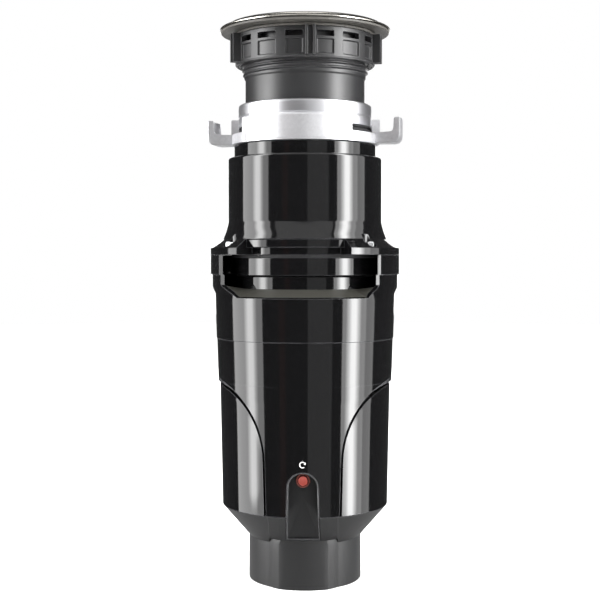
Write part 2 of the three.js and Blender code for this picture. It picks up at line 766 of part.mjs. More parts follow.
// A rubber cup whose floor is slit into flaps that meet round a small middle hole.
function splashGuard() {
  const rimR = SLEEVE_R - SLEEVE_WALL - GAP;
  const bottom = FLANGE_Z - SLEEVE_L + 10;
  const cup = turned([
    [GUARD_RIM_T, bottom],
    [rimR, bottom],
    [rimR, bottom + GUARD_RIM_H],
    [rimR - GUARD_RIM_T, bottom + GUARD_RIM_H],
    [rimR - GUARD_RIM_T, bottom + GUARD_T],
    [GUARD_RIM_T, bottom + GUARD_T],
  ], INNER_ROUND);
  const slots = [];
  for (let i = 0; i < GUARD_SLOTS; i += 1) {
    const slot = box(-GUARD_SLOT_W / 2, GUARD_SLOT_W / 2, 1, rimR * 0.84, bottom - 1, bottom + GUARD_T + 1);
    slots.push(slot.rotateZ(radians((360 / GUARD_SLOTS) * i)));
  }
  return cut(cup, ...slots);
}

// ---------------------------------------------------------------- grinding and drain

function drainChamber() {
  const innerR = CHAMBER_R - CHAMBER_WALL;
  const rimInnerR = CHAMBER_RIM_R - CHAMBER_WALL;
  const floorTop = CHAMBER_FLOOR_Z + CHAMBER_WALL;
  const pot = turned([
    [SEAL_BORE_R, CHAMBER_FLOOR_Z],
    [SKIRT_R - CHAMBER_WALL, CHAMBER_FLOOR_Z],
    [SKIRT_R - CHAMBER_WALL, MOTOR_TOP_Z + GAP],
    [SKIRT_R, MOTOR_TOP_Z + GAP],
    [SKIRT_R, CHAMBER_FLOOR_Z],
    [CHAMBER_R, CHAMBER_FLOOR_Z + 1],
    [CHAMBER_R, CHAMBER_STEP_Z - 1],
    [CHAMBER_RIM_R, CHAMBER_STEP_Z],
    [CHAMBER_RIM_R, CHAMBER_TOP_Z],
    [rimInnerR, CHAMBER_TOP_Z],
    [rimInnerR, GRIND_RING_Z - GAP],
    [innerR, GRIND_RING_Z - GAP],
    [innerR, floorTop],
    [SEAL_BORE_R + CHAMBER_WALL, floorTop + 1],
    [SEAL_BORE_R + CHAMBER_WALL, floorTop + 5],
    [SEAL_BORE_R, floorTop + 5],
  ], INNER_ROUND);
  const pipe = spindle(OUTLET_R, 0, OUTLET_Z, innerR + 1, OUTLET_FACE_Y, INNER_ROUND);
  const plate = box(
    -OUTLET_PLATE_HALF,
    OUTLET_PLATE_HALF,
    OUTLET_FACE_Y - OUTLET_PLATE_T,
    OUTLET_FACE_Y,
    OUTLET_Z - OUTLET_R - 3,
    OUTLET_Z + OUTLET_R + 3,
  );
  const bore = spindle(OUTLET_BORE_R, 0, OUTLET_Z, innerR - 6, OUTLET_FACE_Y + 1, INNER_ROUND);
  const boltHoles = [-1, 1].map((side) => spindle(
    SCREW_SHANK_R + GAP,
    side * OUTLET_BOLT_X,
    OUTLET_Z,
    OUTLET_FACE_Y - 10,
    OUTLET_FACE_Y + 1,
    12,
  ));
  return cut(join(pot, pipe, plate), bore, ...boltHoles);
}

function chamberGasket() {
  const z = CHAMBER_TOP_Z + GAP;
  return ring(CHAMBER_RIM_R, CHAMBER_RIM_R - CHAMBER_WALL, z, z + CHAMBER_GASKET_H - GAP, INNER_ROUND);
}

function shaftSeal() {
  const z = CHAMBER_FLOOR_Z + 1;
  return ring(SEAL_BORE_R - 0.1, SHAFT_R + RUN, z, z + 7, SMALL_ROUND);
}

function slinger() {
  const z = CHAMBER_FLOOR_Z + CHAMBER_WALL + 7;
  return ring(20, SHAFT_R + GAP, z, z + 2, SMALL_ROUND);
}

// A steel ring whose lower edge is notched all round, against which food is ground.
function grindRing() {
  const body = ring(GRIND_RING_R, GRIND_BORE_R, GRIND_RING_Z, GRIND_RING_Z + GRIND_RING_H, INNER_ROUND);
  const slots = [];
  for (let i = 0; i < GRIND_SLOTS; i += 1) {
    const slot = box(-1.6, 1.6, GRIND_BORE_R - 3, GRIND_BORE_R + 1.5, GRIND_RING_Z - 1, GRIND_RING_Z + 9);
    slots.push(slot.rotateZ(radians((360 / GRIND_SLOTS) * (i + 0.5))));
  }
  return cut(body, ...slots);
}

function turntable() {
  const body = turned([
    [SHAFT_R + GAP, TURNTABLE_Z - HUB_DEPTH],
    [HUB_R, TURNTABLE_Z - HUB_DEPTH],
    [HUB_R, TURNTABLE_Z],
    [TURNTABLE_R - 2, TURNTABLE_Z],
    [TURNTABLE_R - 2, TURNTABLE_Z - 1.6],
    [TURNTABLE_R, TURNTABLE_Z - 1.6],
    [TURNTABLE_R, TURNTABLE_TOP_Z],
    [SHAFT_R + GAP, TURNTABLE_TOP_Z],
  ], INNER_ROUND);
  const holes = [];
  [-1, 1].forEach((side) => {
    holes.push(post(PIN_R + GAP, side * IMPELLER_PIVOT_R, 0, TURNTABLE_Z - 1, TURNTABLE_TOP_Z + 1, 16));
    [15, 25, 35].forEach((r) => {
      holes.push(post(2.2, side * r * 0.3, side * r, TURNTABLE_Z - 1, TURNTABLE_TOP_Z + 1, 8));
    });
  });
  return cut(body, ...holes);
}

function impellerPin(side) {
  const x = side * IMPELLER_PIVOT_R;
  const headZ = IMPELLER_Z + IMPELLER_T + GAP;
  const shank = post(PIN_R, x, 0, TURNTABLE_Z - 2.6, headZ + 1, 16);
  const foot = post(PIN_HEAD_R, x, 0, TURNTABLE_Z - 2.6, TURNTABLE_Z - GAP, 16);
  return join(shank, foot, post(PIN_HEAD_R, x, 0, headZ, headZ + 1.6, 16));
}

// A swinging hammer: a flat lug on its pin with a tall toe at the free end.
function impeller(side) {
  const lug = [
    [-IMPELLER_HALF_W, -IMPELLER_HALF_W],
    [IMPELLER_HALF_W, -IMPELLER_HALF_W],
    [IMPELLER_HALF_W, IMPELLER_REACH - 2],
    [IMPELLER_HALF_W - 3, IMPELLER_REACH],
    [-IMPELLER_HALF_W, IMPELLER_REACH],
  ];
  const plate = prism(lug, IMPELLER_Z, IMPELLER_Z + IMPELLER_T);
  const toe = box(
    -IMPELLER_HALF_W,
    IMPELLER_HALF_W - 3,
    IMPELLER_REACH - 4,
    IMPELLER_REACH,
    IMPELLER_Z,
    IMPELLER_Z + IMPELLER_TOE_H,
  );
  const hole = post(PIN_R + PIN_RUN, 0, 0, IMPELLER_Z - 1, IMPELLER_Z + IMPELLER_T + 1, 16);
  const hammer = cut(join(plate, toe), hole);
  return hammer.rotateZ(side > 0 ? 0 : Math.PI).translate(side * IMPELLER_PIVOT_R, 0, 0);
}

function turntableNut() {
  const body = post(9, 0, 0, TURNTABLE_TOP_Z + GAP, TURNTABLE_TOP_Z + 6, 6);
  return cut(body, post(SHAFT_R + GAP, 0, 0, TURNTABLE_TOP_Z - 1, TURNTABLE_TOP_Z + 7));
}

// ---------------------------------------------------------------- discharge elbow

function dischargeElbow() {
  const startY = ELBOW_Y;
  const bendY = startY + 10;
  const tailY = bendY + ELBOW_BEND_R;
  const path = new THREE.CurvePath();
  const start = new THREE.Vector3(0, startY, OUTLET_Z);
  const steps = 8;
  let last = start;
  for (let i = 0; i <= steps; i += 1) {
    const turn = (Math.PI / 2) * (i / steps);
    const next = new THREE.Vector3(
      0,
      bendY + ELBOW_BEND_R * Math.sin(turn),
      OUTLET_Z - ELBOW_BEND_R * (1 - Math.cos(turn)),
    );
    path.add(new THREE.LineCurve3(last, next));
    last = next;
  }
  path.add(new THREE.LineCurve3(last, new THREE.Vector3(0, tailY, OUTLET_Z - ELBOW_BEND_R - ELBOW_TAIL)));
  const tube = (r, from, to) => {
    const shape = new THREE.Shape(new THREE.Path().absarc(0, 0, r, 0, 2 * Math.PI).getSpacedPoints(SMALL_ROUND));
    const bend = new THREE.ExtrudeGeometry(shape, { steps: 12, extrudePath: path, bevelEnabled: false });
    return join(bend, spindle(r, 0, OUTLET_Z, from, to));
  };
  const bead = spindle(ELBOW_BEAD_R, 0, OUTLET_Z, startY, startY + ELBOW_BEAD_T, INNER_ROUND);
  const tailEnd = OUTLET_Z - ELBOW_BEND_R - ELBOW_TAIL;
  const outside = join(tube(OUTLET_R, startY, startY + 5), bead);
  const insidePost = post(OUTLET_BORE_R, 0, tailY, tailEnd - 2, tailEnd + 3);
  return cut(outside, tube(OUTLET_BORE_R, startY - 1, startY + 5), insidePost);
}

function elbowPlate(halfWidth, bore, y0, y1) {
  const plate = box(-halfWidth, halfWidth, y0, y1, OUTLET_Z - OUTLET_R - 3, OUTLET_Z + OUTLET_R + 3);
  const boltHoles = [-1, 1].map((side) => spindle(
    SCREW_SHANK_R + GAP,
    side * OUTLET_BOLT_X,
    OUTLET_Z,
    y0 - 1,
    y1 + 1,
    12,
  ));
  return cut(plate, spindle(bore, 0, OUTLET_Z, y0 - 1, y1 + 1, INNER_ROUND), ...boltHoles);
}

function elbowGasket() {
  const y = OUTLET_FACE_Y + GAP;
  return cut(
    spindle(ELBOW_BEAD_R, 0, OUTLET_Z, y, y + ELBOW_GASKET_T, INNER_ROUND),
    spindle(OUTLET_BORE_R, 0, OUTLET_Z, y - 1, y + ELBOW_GASKET_T + 1, INNER_ROUND),
  );
}

function elbowFlange() {
  const y = ELBOW_Y + ELBOW_BEAD_T + GAP;
  return elbowPlate(OUTLET_PLATE_HALF, OUTLET_R + 2 * GAP, y, y + ELBOW_FLANGE_T);
}

function elbowScrew(side) {
  const x = side * OUTLET_BOLT_X;
  const seatY = ELBOW_Y + ELBOW_BEAD_T + ELBOW_FLANGE_T + 2 * GAP;
  const head = spindle(SCREW_HEAD_R, x, OUTLET_Z, seatY, seatY + SCREW_HEAD_H - 1, 6);
  return join(head, spindle(SCREW_SHANK_R, x, OUTLET_Z, OUTLET_FACE_Y - OUTLET_PLATE_T - 2, seatY + 1, 12));
}

// ---------------------------------------------------------------- motor

function motorCan() {
  const bossZ = UPPER_BEARING_Z;
  return turned([
    [MOTOR_BORE_R, MOTOR_Z],
    [MOTOR_R, MOTOR_Z],
    [MOTOR_R, MOTOR_TOP_Z],
    [SHAFT_R + 2, MOTOR_TOP_Z],
    [SHAFT_R + 2, MOTOR_TOP_Z - MOTOR_WALL + GAP],
    [BEARING_R + GAP, MOTOR_TOP_Z - MOTOR_WALL + GAP],
    [BEARING_R + GAP, bossZ],
    [BEARING_HUB_R, bossZ],
    [BEARING_HUB_R, MOTOR_TOP_Z - MOTOR_WALL],
    [MOTOR_BORE_R, MOTOR_TOP_Z - MOTOR_WALL],
  ], INNER_ROUND);
}

function endBell() {
  const top = MOTOR_Z - GAP;
  return turned([
    [SHAFT_R + 2, LOWER_BEARING_Z - 2],
    [BEARING_HUB_R, LOWER_BEARING_Z - 2],
    [BEARING_HUB_R, top - BELL_T],
    [MOTOR_R, top - BELL_T],
    [MOTOR_R, top],
    [BEARING_R + GAP, top],
    [BEARING_R + GAP, LOWER_BEARING_Z - GAP],
    [SHAFT_R + 2, LOWER_BEARING_Z - GAP],
  ], INNER_ROUND);
}

function bearing(z) {
  return ring(BEARING_R, SHAFT_R + BEARING_RUN, z, z + BEARING_H, SMALL_ROUND);
}

function magnet(side) {
  const outerR = MOTOR_BORE_R - GAP;
  const outline = [
    [outerR - MAGNET_T, WINDING_Z + 2],
    [outerR, WINDING_Z + 2],
    [outerR, UPPER_WINDING_Z + 4],
    [outerR - MAGNET_T, UPPER_WINDING_Z + 4],
  ];
  return sector(outline, side * 90 - MAGNET_HALF_ANGLE, side * 90 + MAGNET_HALF_ANGLE, INNER_ROUND);
}

function rotorShaft() {
  return ring(SHAFT_R, 0, LOWER_BEARING_Z - 1, TURNTABLE_TOP_Z + 9, SMALL_ROUND);
}

function armatureCore() {
  const body = ring(CORE_R, SHAFT_R + GAP, CORE_Z, CORE_Z + CORE_H, 2 * CORE_SLOTS);
  const slots = [];
  for (let i = 0; i < CORE_SLOTS; i += 1) {
    const slot = box(-1.6, 1.6, CORE_R - 12, CORE_R + 2, CORE_Z - 1, CORE_Z + CORE_H + 1);
    slots.push(slot.rotateZ(radians((360 / CORE_SLOTS) * i)));
  }
  return cut(body, ...slots);
}

function winding(z) {
  const innerR = COMMUTATOR_R + 1;
  const outerR = CORE_R - 2;
  const round = WINDING_H / 3;
  return turned([
    [innerR, z + round],
    [innerR + round, z],
    [outerR - round, z],
    [outerR, z + round],
    [outerR, z + WINDING_H - round],
    [outerR - round, z + WINDING_H],
    [innerR + round, z + WINDING_H],
    [innerR, z + WINDING_H - round],
  ], SMALL_ROUND);
}

function commutator() {
  return ring(COMMUTATOR_R, SHAFT_R + GAP, COMMUTATOR_Z, COMMUTATOR_Z + COMMUTATOR_H, SMALL_ROUND);
}

function brush(side) {
  const start = COMMUTATOR_R + GAP;
  const half = BRUSH_SIZE / 2;
  const block = box(start, start + BRUSH_L, -half, half, BRUSH_Z - half, BRUSH_Z + half);
  return side > 0 ? block : block.rotateZ(Math.PI);
}

function brushHolder(side) {
  const start = COMMUTATOR_R + 2.5;
  const half = BRUSH_HOLDER_SIZE / 2;
  const bore = BRUSH_SIZE / 2 + GAP;
  const tube = cut(
    box(start, start + BRUSH_HOLDER_L, -half, half, BRUSH_Z - half, BRUSH_Z + half),
    box(start - 1, start + BRUSH_HOLDER_L - 1.5, -bore, bore, BRUSH_Z - bore, BRUSH_Z + bore),
  );
  return side > 0 ? tube : tube.rotateZ(Math.PI);
}

// ---------------------------------------------------------------- reset and electrical parts

function resetBezel() {
  const y1 = -NICHE_BACK_Y - GAP;
  const y0 = y1 - 1.8;
  return cut(
    spindle(RESET_RING_R, 0, RESET_Z, y0, y1),
    spindle(RESET_CAP_R + RUN, 0, RESET_Z, y0 - 1, y1 + 1),
  );
}

function resetButton() {
  const capBack = -NICHE_BACK_Y - GAP;
  const cap = spindle(RESET_CAP_R, 0, RESET_Z, capBack - RESET_CAP_PROUD, capBack);
  return join(cap, spindle(RESET_STEM_R, 0, RESET_Z, capBack - 1, -NICHE_BACK_Y + NICHE_WALL + 4, 16));
}

function overloadProtector() {
  const front = -NICHE_BACK_Y + NICHE_WALL + GAP;
  const body = box(-10, 10, front, front + 14, RESET_Z - 12, RESET_Z + 5.5);
  const stemWell = spindle(RESET_STEM_R + RUN, 0, RESET_Z, front - 1, front + 5, 16);
  return cut(body, stemWell);
}

function terminalBlock() {
  const floor = PLATE_T + GAP;
  const body = box(-22, -4, 6, 18, floor, floor + 12);
  const wells = [-18, -13, -8].map((x) => box(x - 1.5, x + 1.5, 8, 16, floor + 6, floor + 13));
  return cut(body, ...wells);
}

function rectifier() {
  const floor = PLATE_T + GAP;
  const body = box(0, 26, -13, 13, floor, floor + 9);
  return cut(body, post(2.4, 13, 0, floor - 1, floor + 10, 12));
}

// The rubber bush of the mains inlet, with a bore for the lead.
function cordGland() {
  const outerY = SHELL_LOW_R + 3.2;
  const lipBackY = SHELL_LOW_R + 1;
  return cut(
    join(
      spindle(GLAND_LIP_R, 0, GLAND_Z, lipBackY, outerY),
      spindle(GLAND_R, 0, GLAND_Z, SHELL_LOW_R - WALL - 4, lipBackY + 0.5),
    ),
    spindle(GLAND_BORE_R, 0, GLAND_Z, SHELL_LOW_R - WALL - 5, outerY + 1, 16),
  );
}

// ---------------------------------------------------------------- the assembly

piece('base_cover', baseCover(), 'satinBlack');
piece('bottom_plate', bottomPlate(), 'satinBlack');
piece('main_shell', mainShell(), 'glossBlack');
piece('side_panel_left', sidePanel(-1), 'glossBlack');
piece('side_panel_right', sidePanel(1), 'glossBlack');
piece('upper_shell', upperShell(), 'glossBlack');
piece('cord_gland', cordGland(), 'rubber');

piece('reset_niche', resetNiche(), 'deepBlack');
piece('reset_bezel', resetBezel(), 'brownPlastic');
piece('reset_button', resetButton(), 'redPlastic');
piece('overload_protector', overloadProtector(), 'bakelite');
piece('terminal_block', terminalBlock(), 'bakelite');
piece('rectifier', rectifier(), 'bakelite');

const motor = new THREE.Group();
disposal.add(motor);
piece('motor_can', motorCan(), 'steel', motor);
piece('end_bell', endBell(), 'castAluminium', motor);
piece('magnet_left', magnet(-1), 'ferrite', motor);
piece('magnet_right', magnet(1), 'ferrite', motor);
piece('upper_bearing', bearing(UPPER_BEARING_Z), 'steel', motor);
piece('lower_bearing', bearing(LOWER_BEARING_Z), 'steel', motor);
piece('brush_holder_left', brushHolder(-1), 'copper', motor);
piece('brush_holder_right', brushHolder(1), 'copper', motor);
piece('brush_left', brush(-1), 'carbon', motor);
piece('brush_right', brush(1), 'carbon', motor);

const rotor = new THREE.Group();
motor.add(rotor);
piece('rotor_shaft', rotorShaft(), 'steel', rotor);
piece('commutator', commutator(), 'copper', rotor);
piece('armature_core', armatureCore(), 'steel', rotor);
piece('winding_lower', winding(WINDING_Z), 'copper', rotor);
piece('winding_upper', winding(UPPER_WINDING_Z), 'copper', rotor);
piece('slinger', slinger(), 'rubber', rotor);
piece('turntable', turntable(), 'stainless', rotor);
piece('turntable_nut', turntableNut(), 'platedSteel', rotor);
piece('impeller_pin_left', impellerPin(-1), 'platedSteel', rotor);
piece('impeller_pin_right', impellerPin(1), 'platedSteel', rotor);
piece('impeller_left', impeller(-1), 'stainless', rotor);
piece('impeller_right', impeller(1), 'stainless', rotor);

piece('drain_chamber', drainChamber(), 'glossBlack');
piece('shaft_seal', shaftSeal(), 'rubber');
piece('chamber_gasket', chamberGasket(), 'rubber');
piece('grind_ring', grindRing(), 'stainless');
piece('discharge_elbow', dischargeElbow(), 'satinBlack');
piece('elbow_gasket', elbowGasket(), 'rubber');
piece('elbow_flange', elbowFlange(), 'platedSteel');
piece('elbow_screw_left', elbowScrew(-1), 'platedSteel');
piece('elbow_screw_right', elbowScrew(1), 'platedSteel');

piece('upper_housing', upperHousing(), 'glossBlack');
piece('hopper_liner', hopperLiner(), 'stainless');
SCREW_AZIMUTHS.forEach((azimuth, index) => {
  piece(`housing_screw_${index + 1}`, housingScrew(index), 'platedSteel');
});
piece('lock_ring', lockRing(), 'castAluminium');

const sinkMount = new THREE.Group();
disposal.add(sinkMount);
piece('neck_seal', neckSeal(), 'rubber', sinkMount);
piece('mounting_flange', mountingFlange(), 'polishedRing', sinkMount);
piece('neck_sleeve', neckSleeve(), 'satinBlack', sinkMount);
piece('mounting_nut', mountingNut(), 'satinBlack', sinkMount);
piece('thrust_ring', thrustRing(), 'greyRubber', sinkMount);
piece('flange_gasket', flangeGasket(), 'greyRubber', sinkMount);
piece('sink_flange', sinkFlange(), 'stainless', sinkMount);
piece('splash_guard', splashGuard(), 'rubber', sinkMount);

export default disposal;
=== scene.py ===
import json
from math import acos, asin, cos, degrees, pi, radians, sin, tan

import bmesh
import bpy
from mathutils import Matrix, Vector


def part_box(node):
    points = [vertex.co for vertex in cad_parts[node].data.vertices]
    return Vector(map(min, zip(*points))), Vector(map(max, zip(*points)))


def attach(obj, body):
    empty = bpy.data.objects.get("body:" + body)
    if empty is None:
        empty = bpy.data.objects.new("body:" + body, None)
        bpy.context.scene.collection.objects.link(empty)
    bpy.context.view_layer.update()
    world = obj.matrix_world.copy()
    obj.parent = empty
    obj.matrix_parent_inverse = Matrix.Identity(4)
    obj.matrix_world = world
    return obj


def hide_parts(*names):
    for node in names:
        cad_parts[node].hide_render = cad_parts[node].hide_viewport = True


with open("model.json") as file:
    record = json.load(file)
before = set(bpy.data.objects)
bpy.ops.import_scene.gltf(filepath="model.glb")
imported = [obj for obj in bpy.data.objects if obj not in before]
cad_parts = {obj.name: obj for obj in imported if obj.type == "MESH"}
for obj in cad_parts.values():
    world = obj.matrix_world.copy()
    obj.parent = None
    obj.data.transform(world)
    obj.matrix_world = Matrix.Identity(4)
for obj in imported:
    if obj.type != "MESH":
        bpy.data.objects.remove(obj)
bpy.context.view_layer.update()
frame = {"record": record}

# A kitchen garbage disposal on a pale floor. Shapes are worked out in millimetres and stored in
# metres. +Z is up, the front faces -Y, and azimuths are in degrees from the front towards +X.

MM = 0.001
SIDES = 144  # columns of a large round piece
FILLET = 0.4  # usual edge rounding of a moulded or turned piece
WALL = 2.6  # wall of the moulded covers
SIDE_OF = {"left": -1, "right": 1}

record = frame["record"]
BODY_OF = {node: body for body, nodes in record["behaviour"]["bodies"].items() for node in nodes}
SLOT_OF = {part["node"]: part["material_slot"] for part in record["subparts"]}


# ---------------------------------------------------------------- places taken from the frame

def low(node, axis=2):
    """The lowest coordinate of a node along an axis, in millimetres."""
    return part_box(node)[0][axis] / MM


def high(node, axis=2):
    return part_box(node)[1][axis] / MM


def span(node, axis=2):
    """The lowest and the highest coordinate of a node along an axis."""
    return low(node, axis), high(node, axis)


def centre(node, axis=2):
    return (low(node, axis) + high(node, axis)) / 2


def reach(node):
    """The outer radius of a round node that has a corner on the X axis."""
    return high(node, 0)


CONE_TOP_R = reach("base_cover")
CONE_TOP_Z = high("base_cover")
SHELL_Z = low("main_shell")
SHELL_TOP_Z = high("main_shell")
SHELL_TOP_R = high("main_shell", 0)
SHELL_LOW_R = CONE_TOP_R + 0.3
DECK_LOW_Z = low("upper_shell")
DECK_Z = high("upper_shell")
DECK_R = reach("upper_shell")
HOUSING_Z = low("upper_housing")
HOUSING_TOP_Z = high("upper_housing")
RING_R = reach("mounting_flange")
RING_Z = low("mounting_flange")
RING_TOP_Z = high("mounting_flange")
LOCK_Z = low("lock_ring")
LOCK_TOP_Z = high("lock_ring")
HOOK_R = high("lock_ring", 0)
NUT_Z = low("mounting_nut")
NUT_TOP_Z = high("mounting_nut")
NECK_TOP_Z = high("neck_sleeve")
FLANGE_TOP_Z = high("sink_flange")
FLANGE_R = reach("sink_flange")
GLAND_Z = centre("cord_gland")
RESET_Z = centre("reset_bezel")
OUTLET_Z = centre("elbow_gasket")
IMPELLER_X = centre("impeller_pin_right", 0)

# Base, niche and tongue
PEDESTAL_R = 38
PEDESTAL_H = 30
PAD_R = 40.3
PAD_HALF_X = 15.4
RIDGE_X = 22.5
PAD_SLOPE = (0, 0, 0, 0, 0.4, 1.1, 2.1)  # how far each column beside the pad falls back
NICHE_FLOOR_Z = 33.6
NICHE_HALF_LOW = 11
NICHE_HALF = 9.95
NICHE_ARCH_Z = 70.45
NICHE_BACK_Y = 46
NICHE_TOE_Y = 38.9
NICHE_TOE_Z = 52
TONGUE_HALF_LOW = 22.4
TONGUE_HALF = 24.4
TONGUE_STRAIGHT_Z = 85
TONGUE_ARCH_W = 37.5
TONGUE_TOP_Z = high("side_panel_right")
PANEL_GAP = 1.5
PANEL_LOW_R = 56
PANEL_TOP_R = reach("side_panel_right")

# Deck window, screws, neck
WINDOW_LEFT = -60
WINDOW_RIGHT = 51.5
WINDOW_LEFT_KNEE = -45  # where its lower edge starts to rise
WINDOW_RIGHT_KNEE = 44
WINDOW_LOW_Z = 191.3
WINDOW_CORNER_Z = 199.7
LEDGE_R = 47.3
LEDGE_Z = 197
SCREW_AZIMUTHS = (-55, 47, 133, -141)
SCREW_CIRCLE_R = 58.6
NECK_R = 40.2
THREAD_ROOT_R = 41
THREAD_R = 42.5
THREAD_PITCH = 3.2
THREAD_TURNS = 5.2

# Drain chamber, outlet, shaft and screws
CHAMBER_R = 46.5
CHAMBER_RIM_R = 49.5
CHAMBER_STEP_DROP = 13  # from the deck's top down to the chamber's step
OUTLET_R = 19
OUTLET_BORE_R = 16
OUTLET_HOLE_R = 21
PLATE_HALF_X = 30
PLATE_HALF_Z = 22
BOLT_X = 24.5
BOLT_HOLE_R = 2.2
SHAFT_BORE_R = 6.3
STEM_HOLE_R = 2.4
PIN_HOLE_R = 2.9
SCREW_HEAD_R = 3.3
SCREW_SHANK_R = 1.8
GAP = 0.3  # clearance around the niche


def lerp(start, end, share):
    """The value at a share of the way from one number to another."""
    return start + (end - start) * share


def polar(radius, azimuth, z):
    """The point at a radius, an azimuth and a height."""
    turn = radians(azimuth)
    return (radius * sin(turn), -radius * cos(turn), z)


def held(value, limit):
    """A value kept between plus and minus a limit."""
    return max(-limit, min(limit, value))


# ---------------------------------------------------------------- shape building

def rounded(outline, fillet=FILLET, steps=3):
    """A closed [r, z] outline with an arc at each corner. A third number is that corner's own arc."""
    points = []
    for i, corner in enumerate(outline):
        here = Vector(corner[:2])
        if here.x < 1e-6:
            points.extend([here] * (steps + 1))
            continue
        to_last = Vector(outline[i - 1][:2]) - here
        to_next = Vector(outline[(i + 1) % len(outline)][:2]) - here
        arc = corner[2] if len(corner) == 3 else fillet
        arc = min(arc, 0.45 * to_last.length, 0.45 * to_next.length)
        start = here + to_last.normalized() * arc
        end = here + to_next.normalized() * arc
        for step in range(steps + 1):
            share = step / steps
            points.append(start.lerp(here, share).lerp(here.lerp(end, share), share))
    return points


def section(profile, azimuth):
    """A list of (r, z) points stood up at an azimuth."""
    return [polar(p.x, azimuth, p.y) for p in profile]


class Shape:
    """Points in millimetres and the faces between them. It may hold several closed bodies of one piece."""

    def __init__(self):
        self.points = []
        self.faces = []

    def add(self, points, faces):
        start = len(self.points)
        self.points.extend(points)
        self.faces.extend([start + i for i in face] for face in faces)
        return self

    def loft(self, rings, around=True):
        """Quads from each closed ring to the next. The last joins the first, or both ends are capped."""
        count = len(rings[0])
        faces = []
        for k in range(len(rings) if around else len(rings) - 1):
            here = k * count
            there = ((k + 1) % len(rings)) * count
            for i in range(count):
                j = (i + 1) % count
                faces.append([here + i, here + j, there + j, there + i])
        if not around:
            faces.append(list(range(count)))
            faces.append([(len(rings) - 1) * count + i for i in range(count)])
        return self.add([point for ring in rings for point in ring], faces)

    def turn(self, outline, sides=SIDES, fillet=FILLET):
        """A closed [r, z] outline turned a full circle about Z."""
        profile = rounded(outline, fillet)
        return self.loft([section(profile, 360 * k / sides) for k in range(sides)])

    def sector(self, outline, start, end, fillet=FILLET, round_ends=0.4, step=2.5):
        """A closed [r, z] outline swept about Z between two azimuths, with its ends drawn in a little."""
        profile = rounded(outline, fillet)
        middle = sum(profile, Vector((0, 0))) / len(profile)
        steps = max(2, round(abs(end - start) / step))
        soft = degrees(round_ends / middle.x)
        stops = [start, start + soft * 0.3, start + soft]
        stops += [lerp(start + soft, end - soft, k / steps) for k in range(1, steps)]
        stops += [end - soft, end - soft * 0.3, end]
        inset = [round_ends, round_ends * 0.3, 0] + [0] * (steps - 1) + [0, round_ends * 0.3, round_ends]
        rings = []
        for azimuth, shrink in zip(stops, inset):
            ring = []
            for p in profile:
                away = p - middle
                p = p - away.normalized() * min(shrink, away.length * 0.3)
                ring.append(polar(p.x, azimuth, p.y))
            rings.append(ring)
        return self.loft(rings, around=False)

    def wall(self, patches):
        """A wall made of patches, each in rows of (outer, inner) points. Every free edge gets a rim."""
        ids = {}
        pairs = []
        cells = []
        uses = {}

        def index(pair):
            key = tuple(round(c, 3) for c in pair[0])
            if key not in ids:
                ids[key] = len(pairs)
                pairs.append(pair)
            return ids[key]

        for rows in patches:
            for lower, upper in zip(rows, rows[1:]):
                for k in range(len(lower) - 1):
                    corners = (lower[k], lower[k + 1], upper[k + 1], upper[k])
                    if None in corners:
                        continue
                    cell = list(dict.fromkeys(index(pair) for pair in corners))
                    if len(cell) > 2:
                        cells.append(cell)
        for cell in cells:
            for a, b in zip(cell, cell[1:] + cell[:1]):
                uses.setdefault(frozenset((a, b)), []).append((a, b))
        faces = [[2 * i for i in cell] for cell in cells]
        faces += [[2 * i + 1 for i in reversed(cell)] for cell in cells]
        for edge in uses.values():
            if len(edge) == 1:
                a, b = edge[0]
                faces.append([2 * b, 2 * a, 2 * a + 1, 2 * b + 1])
        return self.add([point for pair in pairs for point in pair], faces)

    def sweep(self, path, radius, sides=48):
        """A round rod along a list of points. radius is a number, or one number for each point."""
        radii = radius if isinstance(radius, (list, tuple)) else [radius] * len(path)
        path = [Vector(p) for p in path]
        rings = []
        across = None
        for k, point in enumerate(path):
            ahead = (path[min(k + 1, len(path) - 1)] - path[max(k - 1, 0)]).normalized()
            if across is None:
                across = ahead.orthogonal().normalized()
            across = (across - ahead * across.dot(ahead)).normalized()
            beside = ahead.cross(across)
            ring = []
            for i in range(sides):
                turn = 2 * pi * (i + 0.37) / sides
                ring.append(point + (across * cos(turn) + beside * sin(turn)) * radii[k])
            rings.append(ring)
        return self.loft(rings, around=False)

    def block(self, x, y, z):
        """A plain box between two values on each axis, whose edges a bevel rounds later."""
        rings = [[(x[0], y[0], h), (x[1], y[0], h), (x[1], y[1], h), (x[0], y[1], h)] for h in z]
        return self.loft(rings, around=False)

    def moved(self, matrix):
        self.points = [matrix @ Vector(p) for p in self.points]
        return self

    def joined(self, *others):
        for other in others:
            self.add(other.points, other.faces)
        return self


def rod(start, end, radius, sides=48):
    """A straight round rod between two points, used to cut holes."""
    return Shape().sweep([start, end], radius, sides)


def spaced(count, *box):
    """Copies of a block spread evenly about Z, half a step off the front."""
    turns = [Matrix.Rotation(2 * pi * (k + 0.5) / count, 4, "Z") for k in range(count)]
    return [Shape().block(*box).moved(turn) for turn in turns]


